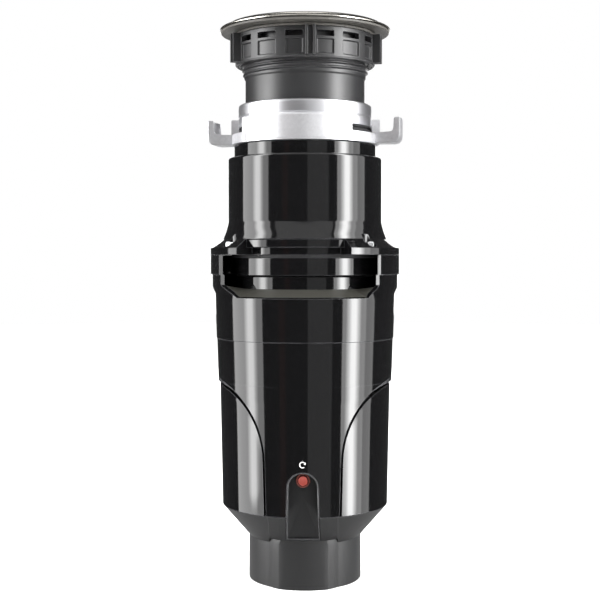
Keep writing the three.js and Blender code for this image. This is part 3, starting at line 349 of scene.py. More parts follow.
def to_mesh(name, shape):
    """A clean mesh in metres: doubled points merged, loose edges gone, normals outward."""
    bm = bmesh.new()
    corners = [bm.verts.new(Vector(p) * MM) for p in shape.points]
    seen = set()
    for face in shape.faces:
        ring = list(dict.fromkeys(face))
        if len(ring) > 2 and frozenset(ring) not in seen:
            seen.add(frozenset(ring))
            bm.faces.new([corners[i] for i in ring])
    bmesh.ops.remove_doubles(bm, verts=bm.verts, dist=2e-6)
    bmesh.ops.dissolve_degenerate(bm, dist=1e-6, edges=bm.edges)
    bmesh.ops.delete(bm, geom=[edge for edge in bm.edges if not edge.link_faces], context="EDGES")
    bmesh.ops.recalc_face_normals(bm, faces=bm.faces)
    mesh = bpy.data.meshes.new(name)
    bm.to_mesh(mesh)
    bm.free()
    return mesh


def placed(name, data):
    """A new object in the scene."""
    item = bpy.data.objects.new(name, data)
    bpy.context.scene.collection.objects.link(item)
    return item


def carve(piece, operation, *tools):
    """Cuts tool shapes out of a piece, or joins them to it, and keeps the result as its mesh."""
    for k, tool in enumerate(tools):
        other = placed(f"tool_{k}", to_mesh(f"tool_{k}", tool))
        boolean = piece.modifiers.new("carve", "BOOLEAN")
        boolean.operation = operation
        boolean.solver = "EXACT"
        boolean.object = other
        bpy.context.view_layer.update()
        evaluated = piece.evaluated_get(bpy.context.evaluated_depsgraph_get())
        carved = bpy.data.meshes.new_from_object(evaluated)
        piece.modifiers.clear()
        piece.data = carved
        bpy.data.objects.remove(other)


def soften(piece, bevel, limit, sharp, segments=3, miter="MITER_ARC"):
    """Shades a piece smooth up to the sharp angle and rounds its edges past the limit angle."""
    piece.data.shade_smooth()
    piece.data.set_sharp_from_angle(angle=radians(sharp))
    if bevel:
        edge = piece.modifiers.new("edges", "BEVEL")
        edge.width = bevel * MM
        edge.segments = segments
        edge.limit_method = "ANGLE"
        edge.angle_limit = radians(limit)
        edge.miter_outer = miter
    normals = piece.modifiers.new("face_normals", "WEIGHTED_NORMAL")
    normals.keep_sharp = True


def make(node, shape, bevel=0.0, cuts=(), crease=32, name=None):
    """Turns a shape into the visible piece of a node: riding its body, in its material slot."""
    name = name or f"{node}_shape"
    piece = placed(name, to_mesh(name, shape))
    carve(piece, "DIFFERENCE", *cuts)
    soften(piece, bevel, crease + 8, 60 if bevel else crease)
    piece.data.materials.clear()
    piece.data.materials.append(MATERIALS[SLOT_OF[node]])
    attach(piece, BODY_OF[node])
    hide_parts(node)
    return piece


# ---------------------------------------------------------------- shared surface effects

class Nodes:
    """A short way to add and link nodes in one tree."""

    def __init__(self, tree):
        self.tree = tree

    def add(self, kind, inputs=(), **settings):
        node = self.tree.nodes.new(kind)
        for key, value in settings.items():
            setattr(node, key, value)
        for key, value in dict(inputs).items():
            if isinstance(value, bpy.types.NodeSocket):
                self.link(value, node.inputs[key])
            else:
                node.inputs[key].default_value = value
        return node

    def math(self, operation, a, b=0.5, clamp=False):
        return self.add("ShaderNodeMath", {0: a, 1: b}, operation=operation, use_clamp=clamp).outputs[0]

    def ramp(self, value, low_value, high_value, start=0.0, end=1.0):
        """Maps a value from one range to another, held at both ends."""
        limits = {"From Min": low_value, "From Max": high_value, "To Min": start, "To Max": end}
        return self.add("ShaderNodeMapRange", {"Value": value, **limits}).outputs[0]

    def link(self, value, socket):
        self.tree.links.new(value, socket)

    def noise(self, place, scale, detail=3.0, roughness=0.5):
        inputs = {"Vector": place, "Scale": scale, "Detail": detail, "Roughness": roughness}
        return self.add("ShaderNodeTexNoise", inputs).outputs["Fac"]


def effect(name, inputs, outputs):
    """A new shader node group with named float inputs and outputs."""
    tree = bpy.data.node_groups.new(name, "ShaderNodeTree")
    for key, value in inputs.items():
        socket = tree.interface.new_socket(key, in_out="INPUT", socket_type="NodeSocketFloat")
        socket.default_value = value
    for key in outputs:
        tree.interface.new_socket(key, in_out="OUTPUT", socket_type="NodeSocketFloat")
    source = tree.nodes.new("NodeGroupInput")
    result = tree.nodes.new("NodeGroupOutput")
    return Nodes(tree), source.outputs, result.inputs


def object_place(nodes):
    return nodes.add("ShaderNodeTexCoord").outputs["Object"]


def moulded_grain():
    """Fine spark-eroded grain over a slow waviness, as a moulded face has."""
    nodes, given, out = effect("moulded_grain", {"Scale": 2600, "Waviness": 0.3}, ["Height", "Mask"])
    place = object_place(nodes)
    fine = nodes.noise(place, given["Scale"], 2, 0.6)
    slow = nodes.noise(place, 28, 1, 0.4)
    height = nodes.math("ADD", fine, nodes.math("MULTIPLY", slow, given["Waviness"]))
    nodes.link(height, out["Height"])
    nodes.link(nodes.ramp(fine, 0.35, 0.65), out["Mask"])
    return nodes.tree


def edge_wear_and_highlight():
    """1 along the outer edges of a piece and 0 on its faces, broken up a little. The materials paint an edge
    highlight with it, and the plastics also make their edges rougher by it.
    """
    nodes, given, out = effect("edge_wear_and_highlight", {"Width": 0.0006, "Breakup": 0.4}, ["Mask"])
    soft = nodes.add("ShaderNodeBevel", {"Radius": given["Width"]}, samples=4).outputs[0]
    plain = nodes.add("ShaderNodeNewGeometry").outputs["Normal"]
    match = nodes.add("ShaderNodeVectorMath", {0: soft, 1: plain}, operation="DOT_PRODUCT").outputs["Value"]
    edge = nodes.ramp(match, 0.985, 0.9)
    broken = nodes.ramp(nodes.noise(object_place(nodes), 180, 4, 0.6), 0.3, 0.6)
    kept = nodes.math("SUBTRACT", 1.0, given["Breakup"])
    share = nodes.math("ADD", nodes.math("MULTIPLY", broken, given["Breakup"]), kept)
    # This mask places the painted edge highlight, and on plastics also rougher edges.
    nodes.link(nodes.math("MULTIPLY", edge, share, clamp=True), out["Mask"])
    return nodes.tree


def handling_film():
    """Faint smears and wiped patches that change how sharply a face reflects."""
    nodes, given, out = effect("handling_film", {"Scale": 14, "Streaks": 60}, ["Mask"])
    place = object_place(nodes)
    patch = nodes.ramp(nodes.noise(place, given["Scale"], 4, 0.65), 0.42, 0.68)
    stretch = {0: place, 1: (1.0, 1.0, 0.12)}
    stretched = nodes.add("ShaderNodeVectorMath", stretch, operation="MULTIPLY").outputs[0]
    streak = nodes.ramp(nodes.noise(stretched, given["Streaks"], 3, 0.5), 0.4, 0.7)
    both = nodes.math("MULTIPLY", patch, nodes.ramp(streak, 0, 1, 0.35, 1))
    nodes.link(both, out["Mask"])
    return nodes.tree


def settled_dust():
    """Fine specks that gather on faces that look up."""
    nodes, given, out = effect("settled_dust", {"Amount": 0.5, "Speck": 900}, ["Mask"])
    normal = nodes.add("ShaderNodeNewGeometry").outputs["Normal"]
    up = nodes.add("ShaderNodeSeparateXYZ", {0: normal}).outputs["Z"]
    specks = nodes.ramp(nodes.noise(object_place(nodes), given["Speck"], 3, 0.7), 0.56, 0.74)
    facing = nodes.ramp(up, 0.2, 1.0)
    mask = nodes.math("MULTIPLY", nodes.math("MULTIPLY", specks, facing), given["Amount"])
    nodes.link(mask, out["Mask"])
    return nodes.tree


def turned_lines():
    """Fine rings left by turning or spinning, following the axis of the object."""
    nodes, given, out = effect("turned_lines", {"Pitch": 2200, "Unevenness": 0.4}, ["Height", "Mask"])
    parts = nodes.add("ShaderNodeSeparateXYZ", {0: object_place(nodes)}).outputs
    flat = nodes.add("ShaderNodeCombineXYZ", {0: parts["X"], 1: parts["Y"], 2: 0.0}).outputs[0]
    radius = nodes.add("ShaderNodeVectorMath", {0: flat}, operation="LENGTH").outputs["Value"]
    along = nodes.math("MULTIPLY", parts["Z"], given["Pitch"])
    inward = nodes.math("MULTIPLY", radius, given["Pitch"])
    place = nodes.add("ShaderNodeCombineXYZ", {0: along, 1: inward, 2: 0.0}).outputs[0]
    lines = nodes.noise(place, 1.0, 2, 0.6)
    patches = nodes.noise(object_place(nodes), 22, 3, 0.6)
    mask = nodes.math("ADD", lines, nodes.math("MULTIPLY", patches, given["Unevenness"]), clamp=True)
    nodes.link(lines, out["Height"])
    nodes.link(mask, out["Mask"])
    return nodes.tree


def cast_skin():
    """The soft pebbled face of a die casting with small pits."""
    nodes, given, out = effect("cast_skin", {"Scale": 420, "Pits": 0.5}, ["Height", "Mask"])
    place = object_place(nodes)
    soft = nodes.noise(place, given["Scale"], 4, 0.55)
    cells = nodes.add("ShaderNodeTexVoronoi", {"Vector": place, "Scale": 1100.0}).outputs["Distance"]
    pits = nodes.math("MULTIPLY", nodes.ramp(cells, 0.0, 0.22), given["Pits"])
    nodes.link(nodes.math("ADD", soft, pits), out["Height"])
    nodes.link(nodes.ramp(soft, 0.3, 0.7), out["Mask"])
    return nodes.tree


EFFECTS = {build.__name__: build() for build in (
    moulded_grain, edge_wear_and_highlight, handling_film, settled_dust, turned_lines, cast_skin)}


# ---------------------------------------------------------------- materials

def place_effect(nodes, name, **values):
    """The outputs of a shared effect, with some of its inputs set."""
    group = nodes.add("ShaderNodeGroup", node_tree=EFFECTS[name])
    for key, value in values.items():
        group.inputs[key.capitalize()].default_value = value
    return group.outputs


def mixed(nodes, mask, under, over):
    """A colour that goes from one to another by a mask. under may also be a socket."""
    inputs = {"Factor": mask, "A": under, "B": over}
    mix = nodes.add("ShaderNodeMix", data_type="RGBA")
    for socket in mix.inputs:
        if socket.enabled and socket.name in inputs:
            value = inputs[socket.name]
            if isinstance(value, bpy.types.NodeSocket):
                nodes.link(value, socket)
            else:
                socket.default_value = (*value, 1.0)
    return next(socket for socket in mix.outputs if socket.enabled)


def blank(name):
    """A new material with its node helper and its shader."""
    material = bpy.data.materials.new(name)
    material.use_nodes = True
    nodes = Nodes(material.node_tree)
    shader = material.node_tree.nodes["Principled BSDF"]
    return material, nodes, shader


def surface(nodes, shader, base, rough, height, depth):
    """Wires colour, roughness and relief into a shader."""
    nodes.link(base, shader.inputs["Base Color"])
    nodes.link(rough, shader.inputs["Roughness"])
    bump = nodes.add("ShaderNodeBump", {"Height": height, "Distance": depth, "Strength": 1.0})
    nodes.link(bump.outputs[0], shader.inputs["Normal"])


def plastic(name, colour, tone, roughness, depth=0.00001, edge_highlight_colour=(0.2, 0.2, 0.21), edge_highlight_share=0.35, dust=0.35):
    """Moulded plastic: two close tones by its grain, edges painted paler as a highlight and made rougher,
    smears and a little dust.
    """
    material, nodes, shader = blank(name)
    grained = place_effect(nodes, "moulded_grain", scale=2600, waviness=0.6)
    edges = place_effect(nodes, "edge_wear_and_highlight", width=0.0005, breakup=0.5)["Mask"]
    smears = place_effect(nodes, "handling_film")["Mask"]
    specks = place_effect(nodes, "settled_dust", amount=dust)["Mask"]
    base = mixed(nodes, grained["Mask"], colour, tone)
    # Painted edge highlight: the edges are mixed towards a paler colour by the edge mask.
    base = mixed(nodes, nodes.math("MULTIPLY", edges, edge_highlight_share), base, edge_highlight_colour)
    base = mixed(nodes, specks, base, (0.32, 0.31, 0.29))
    rough = nodes.ramp(smears, 0, 1, roughness, roughness + 0.07)
    rough = nodes.math("ADD", rough, nodes.math("MULTIPLY", edges, 0.12), clamp=True)
    surface(nodes, shader, base, rough, grained["Height"], depth)
    return material


def metal(name, colour, tone, roughness, skin="turned_lines", depth=0.00001, metallic=1.0, **values):
    """Bare or plated metal with its own tool marks or casting skin, and edges painted brighter as a
    highlight.
    """
    material, nodes, shader = blank(name)
    shader.inputs["Metallic"].default_value = metallic
    marks = place_effect(nodes, skin, **values)
    edges = place_effect(nodes, "edge_wear_and_highlight", width=0.0006, breakup=0.6)["Mask"]
    smears = place_effect(nodes, "handling_film", scale=30, streaks=120)["Mask"]
    base = mixed(nodes, marks["Mask"], colour, tone)
    # Painted edge highlight: a brighter copy of the colour along the edges.
    bright = tuple(min(1.0, c * 1.15 + 0.04) for c in colour)
    base = mixed(nodes, nodes.math("MULTIPLY", edges, 0.5), base, bright)
    rough = nodes.ramp(marks["Mask"], 0, 1, roughness - 0.04, roughness + 0.05)
    rough = nodes.math("ADD", rough, nodes.math("MULTIPLY", smears, 0.08), clamp=True)
    surface(nodes, shader, base, rough, marks["Height"], depth)
    return material


def rubber(name, colour, tone, roughness=0.72):
    """Rubber: dull, faintly bloomed, with edges painted paler as a highlight."""
    material, nodes, shader = blank(name)
    shader.inputs["Specular IOR Level"].default_value = 0.35
    grained = place_effect(nodes, "moulded_grain", scale=1800, waviness=0.8)
    bloom = place_effect(nodes, "handling_film", scale=40, streaks=90)["Mask"]
    edges = place_effect(nodes, "edge_wear_and_highlight", width=0.0006, breakup=0.7)["Mask"]
    base = mixed(nodes, bloom, colour, tone)
    # Painted edge highlight: a paler copy of the tone along the edges.
    base = mixed(nodes, nodes.math("MULTIPLY", edges, 0.4), base, tuple(c * 1.6 + 0.03 for c in tone))
    rough = nodes.ramp(grained["Mask"], 0, 1, roughness - 0.08, roughness + 0.12)
    surface(nodes, shader, base, rough, grained["Height"], 0.00003)
    return material


# The paler edge colours and their shares given to the plastics below are painted edge highlights.
MATERIALS = {
    "gloss_black_plastic": plastic(
        "gloss_black_cover", (0.0022, 0.0022, 0.0024), (0.0034, 0.0034, 0.0036), 0.05,
        depth=0.000003, edge_highlight_colour=(0.16, 0.16, 0.17), edge_highlight_share=0.5, dust=0.12),
    "satin_black_plastic": plastic(
        "satin_black_moulding", (0.012, 0.012, 0.0124), (0.017, 0.017, 0.0178), 0.34,
        depth=0.00002, edge_highlight_colour=(0.16, 0.16, 0.165), dust=0.2),
    "deep_black_plastic": plastic(
        "niche_black_moulding", (0.004, 0.004, 0.0045), (0.007, 0.007, 0.008), 0.35,
        depth=0.00002, edge_highlight_colour=(0.22, 0.22, 0.23), edge_highlight_share=0.7, dust=0.05),
    "cast_aluminium": metal("cast_aluminium_ring", (0.8, 0.8, 0.82), (0.7, 0.7, 0.72), 0.34,
                            skin="cast_skin", depth=0.000006, metallic=0.85, pits=0.15),
    "polished_ring": metal("polished_ring_metal", (0.86, 0.86, 0.88), (0.78, 0.78, 0.81), 0.3,
                           depth=0.000004, pitch=3000),
    "stainless_steel": metal("spun_stainless", (0.62, 0.6, 0.55), (0.52, 0.5, 0.46), 0.17, pitch=2600),
    "plated_steel": metal("bright_plated_steel", (0.7, 0.71, 0.72), (0.58, 0.59, 0.6), 0.22,
                          skin="cast_skin", depth=0.00001, scale=900, pits=0.1),
    "steel": metal("machined_steel", (0.42, 0.43, 0.45), (0.34, 0.35, 0.37), 0.32, pitch=1600),
    "black_rubber": rubber("black_seal_rubber", (0.011, 0.011, 0.012), (0.02, 0.02, 0.021)),
    "grey_rubber": rubber("grey_gasket_rubber", (0.055, 0.052, 0.047), (0.085, 0.08, 0.072), 0.5),
    "ferrite": metal("ferrite_magnet", (0.06, 0.06, 0.065), (0.045, 0.045, 0.05), 0.6, skin="cast_skin",
                     depth=0.00003),
    "copper": metal("enamelled_copper", (0.62, 0.28, 0.13), (0.5, 0.2, 0.09), 0.3, pitch=1200),
    "carbon": plastic("pressed_carbon", (0.015, 0.015, 0.015), (0.03, 0.03, 0.03), 0.6, depth=0.00003),
    "red_plastic": plastic("red_button_plastic", (0.36, 0.045, 0.03), (0.42, 0.065, 0.045), 0.28,
                           edge_highlight_colour=(0.5, 0.16, 0.12), dust=0.1),
    "brown_plastic": plastic("brown_bezel_plastic", (0.13, 0.028, 0.02), (0.17, 0.04, 0.03), 0.38,
                             edge_highlight_colour=(0.3, 0.12, 0.1), dust=0.1),
    "bakelite": plastic("brown_bakelite", (0.03, 0.018, 0.014), (0.045, 0.03, 0.024), 0.35),
    "motor_paint": plastic("grey_motor_paint", (0.16, 0.17, 0.18), (0.2, 0.21, 0.22), 0.4,
                           edge_highlight_colour=(0.4, 0.4, 0.4)),
}


def printed_white():
    """Pad-printed white ink, thin in places."""
    material, nodes, shader = blank("printed_white_ink")
    grained = place_effect(nodes, "moulded_grain", scale=3000)
    ink = mixed(nodes, grained["Mask"], (0.72, 0.72, 0.7), (0.85, 0.85, 0.83))
    nodes.link(ink, shader.inputs["Base Color"])
    nodes.link(nodes.ramp(grained["Mask"], 0, 1, 0.35, 0.55), shader.inputs["Roughness"])
    return material


MATERIALS["printed_ink"] = printed_white()
MATERIALS["base_moulding"] = plastic(
    "base_black_moulding", (0.007, 0.007, 0.0073), (0.011, 0.011, 0.0115), 0.4,
    depth=0.00002, edge_highlight_colour=(0.12, 0.12, 0.125), dust=0.12)
MATERIALS["olive_ledge"] = plastic(
    "olive_black_ledge", (0.026, 0.026, 0.022), (0.038, 0.037, 0.031), 0.4, dust=0.1)


# ---------------------------------------------------------------- base cover, shell and side panels

def niche_half(z):
    """Half the width of the niche's outline at a height, without its clearance."""
    if z <= NICHE_ARCH_Z:
        return lerp(NICHE_HALF_LOW, NICHE_HALF, (z - NICHE_FLOOR_Z) / (NICHE_ARCH_Z - NICHE_FLOOR_Z))
    rise = (z - NICHE_ARCH_Z) / NICHE_HALF
    return NICHE_HALF * cos(asin(min(1, rise)))


def base_radius(z):
    if z <= PEDESTAL_H:
        return PEDESTAL_R
    return lerp(PEDESTAL_R, CONE_TOP_R, (z - PEDESTAL_H) / (CONE_TOP_Z - PEDESTAL_H))


def base_cover():
    """Pedestal and cone in one moulding, with a proud front pad and the tongue's raised foot."""
    notch_z = NICHE_FLOOR_Z - GAP
    pad_top = PEDESTAL_H + (PAD_R - PEDESTAL_R) / (CONE_TOP_R - PEDESTAL_R) * (CONE_TOP_Z - PEDESTAL_H)
    levels = [0, 0.5, 8, 16, 24, PEDESTAL_H, pad_top, notch_z, 38, 42, 46, CONE_TOP_Z - 1.2, CONE_TOP_Z]
    around = 60

    def column_azimuths(z):
        radius = base_radius(z)
        edge = niche_half(z) + GAP
        marks = [0, edge * 0.5, edge, PAD_HALF_X - 0.15, PAD_HALF_X + 0.35, 19, RIDGE_X - 0.3, RIDGE_X + 0.2]
        azimuths = [degrees(asin(x / radius)) for x in marks]
        last = azimuths[-1]
        return azimuths + [lerp(last, 180, k / around) for k in range(1, around + 1)]

    patches = []
    for side in (1, -1):
        rows = []
        for z in levels:
            row = []
            for k, azimuth in enumerate(column_azimuths(z)):
                radius = base_radius(z)
                if z < 0.4:
                    radius -= 0.5
                if k <= 6 and z <= pad_top:
                    radius = PAD_R - PAD_SLOPE[k] - (0.5 if z < 0.4 else 0)
                if k <= 6 and z > pad_top:
                    radius += 0.6 * min(1, (z - pad_top) / 1.5)
                inner = radius - WALL
                row.append((polar(radius, azimuth * side, z), polar(inner, azimuth * side, z)))
            rows.append(row)
        lower = [row for row, z in zip(rows, levels) if z <= notch_z]
        upper = [row[2:] for row, z in zip(rows, levels) if z >= notch_z]
        patches += [lower, upper]
    piece = make("base_cover", Shape().wall(patches), bevel=0.3)
    piece.data.materials[0] = MATERIALS["base_moulding"]


def shell_radius(z):
    return lerp(SHELL_LOW_R, SHELL_TOP_R, (z - SHELL_Z) / (SHELL_TOP_Z - SHELL_Z))


def tongue_edge(turn, gap=0.0):
    """The tongue's edge as (x, z), for a turn from 0 where its arch starts to 90 where it would be level."""
    x = TONGUE_HALF + gap + TONGUE_ARCH_W * (1 - cos(radians(turn)))
    z = TONGUE_STRAIGHT_Z + (TONGUE_TOP_Z - TONGUE_STRAIGHT_Z - gap) * sin(radians(turn))
    return x, z


def tongue_half(z, gap=0.0):
    return lerp(TONGUE_HALF_LOW, TONGUE_HALF, (z + 1) / (TONGUE_STRAIGHT_Z + 1)) + gap


def arch_stops(radius_at, gap=0.0):
    """(z, azimuth) along the arch, closely spaced by azimuth near the side, where it meets 90 degrees."""
    stops = []
    for turn in range(8, 60, 6):
        x, z = tongue_edge(turn, gap)
        stops.append((z, degrees(asin(x / radius_at(z)))))
    first = stops[-1][1]
    count = 12
    for k in range(1, count + 1):
        azimuth = lerp(first, 89.5, k / count)
        x = radius_at(TONGUE_TOP_Z) * sin(radians(azimuth))
        turn = degrees(acos(1 - (x - TONGUE_HALF - gap) / TONGUE_ARCH_W))
        stops.append((tongue_edge(turn, gap)[1], azimuth))
    return stops


CHAMFER = 2.4  # the slanted lower edge of the shell above each side panel


def main_shell():
    """The tall cover with a front and a back tongue, and the niche's opening at the front."""
    columns = 26
    levels = []
    for z in (SHELL_Z, 55, 60, 65, NICHE_ARCH_Z):
        levels.append((z, tongue_half(z)))
    for turn in range(10, 91, 8):
        z = NICHE_ARCH_Z + (NICHE_HALF + GAP) * sin(radians(turn))
        levels.append((z, tongue_half(z)))
    levels.append((TONGUE_STRAIGHT_Z, tongue_half(TONGUE_STRAIGHT_Z)))
    rows_in = [(z, degrees(asin(x / shell_radius(z)))) for z, x in levels]
    rows_in += arch_stops(shell_radius)
    arch_top = rows_in[-1][0]
    rows_in += [(arch_top + 0.05, 90)]
    rows_in += [(lerp(arch_top, SHELL_TOP_Z, share), 90) for share in (0.15, 0.4, 0.7, 1)]

    def first_azimuth(z, back):
        """Where a row starts: at the middle, or beside the niche's opening."""
        if back or z >= NICHE_ARCH_Z + NICHE_HALF + 0.29:
            return 0
        if z <= NICHE_ARCH_Z:
            half = niche_half(z) + GAP
        else:
            half = (NICHE_HALF + GAP) * cos(asin((z - NICHE_ARCH_Z) / (NICHE_HALF + GAP)))
        return degrees(asin(half / shell_radius(z)))

    def slant(z, azimuth):
        """The rise of the outer lower edge beside the tongue, which grows towards the side."""
        if not TONGUE_STRAIGHT_Z < z <= arch_top + 0.1:
            return 0
        return CHAMFER * max(0, min(1, (azimuth - 35) / 40))

    patches = []
    for side in (1, -1):
        for back in (False, True):
            rows = []
            for z, last in rows_in:
                first = first_azimuth(z, back)
                radius = shell_radius(z)
                row = []
                for k in range(columns + 1):
                    azimuth = lerp(first, last, k / columns)
                    lift = slant(z, azimuth) if k == columns else 0
                    shown = (180 - azimuth if back else azimuth) * side
                    outer = polar(shell_radius(z + lift), shown, z + lift)
                    row.append((outer, polar(radius - WALL, shown, z)))
                rows.append(row)
            patches.append(rows)
    gland = rod((0, SHELL_LOW_R - 12, GLAND_Z), (0, SHELL_LOW_R + 12, GLAND_Z), 7.3)
    make("main_shell", Shape().wall(patches), bevel=0.55, cuts=[gland])


def panel_radius(z):
    return lerp(PANEL_LOW_R, PANEL_TOP_R, (z - SHELL_Z) / (TONGUE_TOP_Z - SHELL_Z))


def side_panel(node, side):
    """An inset panel that fills the space beside the two tongues, under the arch."""
    columns = 44
    levels = []
    for z in (SHELL_Z, 58, 66, 75, 85):
        levels.append((z, degrees(asin(tongue_half(z, PANEL_GAP) / panel_radius(z)))))
    levels += arch_stops(panel_radius, PANEL_GAP)
    levels[-1] = (levels[-1][0], 87.5)
    rows = []
    for z, first in levels:
        row = []
        for k in range(columns + 1):
            azimuth = lerp(first, 180 - first, k / columns) * side
            row.append((polar(panel_radius(z), azimuth, z), polar(panel_radius(z) - WALL, azimuth, z)))
        rows.append(row)
    make(node, Shape().wall([rows]), bevel=0.3)


# ---------------------------------------------------------------- reset niche, ring and button

def niche_points(offset, y_at, steps=40):
    """The arched outline in front view, placed at the depth that y_at(x, z) gives."""
    half = NICHE_HALF + offset
    foot = NICHE_FLOOR_Z - offset
    leg = []
    for k in range(1, 10):
        share = k / 10
        x = lerp(NICHE_HALF_LOW, NICHE_HALF, share) + offset
        leg.append((x, lerp(NICHE_FLOOR_Z, NICHE_ARCH_Z, share)))
    points = [(-NICHE_HALF_LOW - offset, foot), (0, foot), (NICHE_HALF_LOW + offset, foot)] + leg
    for k in range(steps + 1):
        turn = pi * k / steps
        points.append((half * cos(turn), NICHE_ARCH_Z + half * sin(turn)))
    points += [(-x, z) for x, z in reversed(leg)]
    return [(x, y_at(x, z), z) for x, z in points]


def cover_y(x, z, inset=0.0):
    """The front face of the covers at x and z."""
    radius = shell_radius(z) if z >= SHELL_Z else base_radius(z)
    return -((radius - inset) ** 2 - x * x) ** 0.5


def niche_back_y(_, z):
    if z >= NICHE_TOE_Z:
        return -NICHE_BACK_Y
    share = (NICHE_TOE_Z - z) / (NICHE_TOE_Z - NICHE_FLOOR_Z)
    return -lerp(NICHE_BACK_Y, NICHE_TOE_Y, share)


def reset_niche():
    """A thin arched tray, flush with the covers, whose back leans inwards at the foot."""
    wall = 0.65

    def tray_front(x, z):
        return min(cover_y(x, z, 0.15), niche_back_y(x, z) - 0.5)

    def deeper(x, z):
        return niche_back_y(x, z) + wall

    rings = [
        niche_points(0, deeper),
        niche_points(0, tray_front),
        niche_points(-0.25, lambda x, z: tray_front(x, z) - 0.12),
        niche_points(-wall + 0.2, lambda x, z: tray_front(x, z) - 0.1),
        niche_points(-wall, lambda x, z: tray_front(x, z) + 0.15),
        niche_points(-wall, lambda x, z: niche_back_y(x, z) - 0.3),
        niche_points(-wall - 0.6, niche_back_y),
    ]
    count = len(rings[0])
    faces = []
    for k in range(len(rings) - 1):
        for i in range(count):
            j = (i + 1) % count
            faces.append([k * count + i, k * count + j, (k + 1) * count + j, (k + 1) * count + i])
    points = [p for ring in rings for p in ring]
    for ring_index, y_at in ((0, deeper), (len(rings) - 1, niche_back_y)):
        fan = len(points)
        points.append((0, y_at(0, 62), 62))
        for i in range(count):
            faces.append([ring_index * count + i, ring_index * count + (i + 1) % count, fan])
    hole = rod((0, -NICHE_BACK_Y - 3, RESET_Z), (0, -NICHE_BACK_Y + 3, RESET_Z), STEM_HOLE_R, 32)
    make("reset_niche", Shape().add(points, faces), cuts=[hole], crease=35)


FACE_FRONT = Matrix.Rotation(pi / 2, 4, "X")  # turns a piece made about +Z to face -Y
FACE_BACK = Matrix.Rotation(-pi / 2, 4, "X")


RESET_PLACE = Matrix.Translation((0, -NICHE_BACK_Y - 0.3, RESET_Z)) @ FACE_FRONT


def reset_bezel():
    outline = [(3.5, -0.1), (4.6, -0.1), (4.6, 1.3, 0.5), (4.1, 1.8, 0.5), (3.55, 1.4, 0.3)]
    make("reset_bezel", Shape().turn(outline, 64, 0.15).moved(RESET_PLACE))


def reset_button():
    """A round cap with a dished face on its stem."""
    outline = [(0, -5.2), (2, -5.2), (2, 0), (3.15, 0), (3.15, 2.6, 0.5), (1.9, 2.3, 0.8), (0, 2.1)]
    make("reset_button", Shape().turn(outline, 64, 0.15).moved(RESET_PLACE))


# ---------------------------------------------------------------- upper shell with its front window

def deck_outline():
    """The outer face of the deck, from the seam up."""
    waist = DECK_LOW_Z + 30
    return [(60, DECK_LOW_Z), (60.2, lerp(DECK_LOW_Z, waist, 0.25)), (60.4, lerp(DECK_LOW_Z, waist, 0.5)),
            (60.7, waist - 4), (60.8, waist), (62.8, waist + 4.5), (62.8, WINDOW_CORNER_Z),
            (62.8, DECK_Z - 12.9), (DECK_R, DECK_Z - 12.5), (DECK_R, DECK_Z + 0.25)]


def deck_radius(z):
    outline = deck_outline()
    for (r0, z0), (r1, z1) in zip(outline, outline[1:]):
        if z <= z1:
            return lerp(r0, r1, (z - z0) / (z1 - z0))
    return DECK_R


def window_floor(azimuth):
    """The height of the window's lower edge."""
    if azimuth < WINDOW_LEFT_KNEE:
        share = (azimuth - WINDOW_LEFT) / (WINDOW_LEFT_KNEE - WINDOW_LEFT)
        return lerp(WINDOW_CORNER_Z, WINDOW_LOW_Z, share)
    if azimuth > WINDOW_RIGHT_KNEE:
        share = (azimuth - WINDOW_RIGHT_KNEE) / (WINDOW_RIGHT - WINDOW_RIGHT_KNEE)
        return lerp(WINDOW_LOW_Z, WINDOW_CORNER_Z, share)
    return WINDOW_LOW_Z


def upper_shell():
    """The deck around the drain chamber, cut away in front above a sloping ledge."""
    outline = deck_outline()
    front = [lerp(WINDOW_LEFT, WINDOW_LEFT_KNEE, k / 6) for k in range(6)]
    front += [lerp(WINDOW_LEFT_KNEE, WINDOW_RIGHT_KNEE, k / 36) for k in range(36)]
    front += [lerp(WINDOW_RIGHT_KNEE, WINDOW_RIGHT, k / 4) for k in range(5)]
    rest = [lerp(WINDOW_RIGHT, 360 + WINDOW_LEFT, k / 100) for k in range(101)]
    window_rows = []
    for radius, z in outline:
        row = []
        for azimuth in front:
            floor = window_floor(azimuth)
            if z < floor - 0.01:
                row.append((polar(radius, azimuth, z), polar(radius - WALL, azimuth, z)))
            else:
                edge = deck_radius(floor)
                rise = 1.0 if floor < WINDOW_CORNER_Z - 0.01 else 0
                row.append((polar(edge, azimuth, floor), polar(edge - WALL, azimuth, floor + rise)))
        window_rows.append(row)
    band_rows = []
    for radius, z in outline:
        band_rows.append([(polar(radius, a, z), polar(radius - WALL, a, z)) for a in rest])
    outlet = rod((0, 35, OUTLET_Z), (0, 75, OUTLET_Z), OUTLET_HOLE_R, 96)
    make("upper_shell", Shape().wall([window_rows, band_rows]), bevel=0.35, cuts=[outlet])
    rings = []
    for azimuth in front + rest[1:-1]:
        in_window = WINDOW_LEFT < azimuth < WINDOW_RIGHT
        floor = window_floor(azimuth) if in_window else WINDOW_CORNER_Z - 4
        edge = deck_radius(floor) - WALL + 0.6
        start = floor + 0.8
        outline = [(edge, start - 2.4), (edge, start), (LEDGE_R, LEDGE_Z), (LEDGE_R, LEDGE_Z - 2.6)]
        rings.append(section(rounded(outline, 0.25), azimuth))
    ledge = make("upper_shell", Shape().loft(rings), bevel=0.2, cuts=[outlet], name="deck_ledge")
    ledge.data.materials[0] = MATERIALS["olive_ledge"]


# ---------------------------------------------------------------- upper housing

EAR_LEFT = -42
EAR_RIGHT = 29
EAR_TOP_Z = HOUSING_Z + 4.6
SHOULDER_Z = HOUSING_Z + 10.3
BARREL_TOP_Z = HOUSING_Z + 65
COLLAR_TOP_Z = BARREL_TOP_Z + 8.3


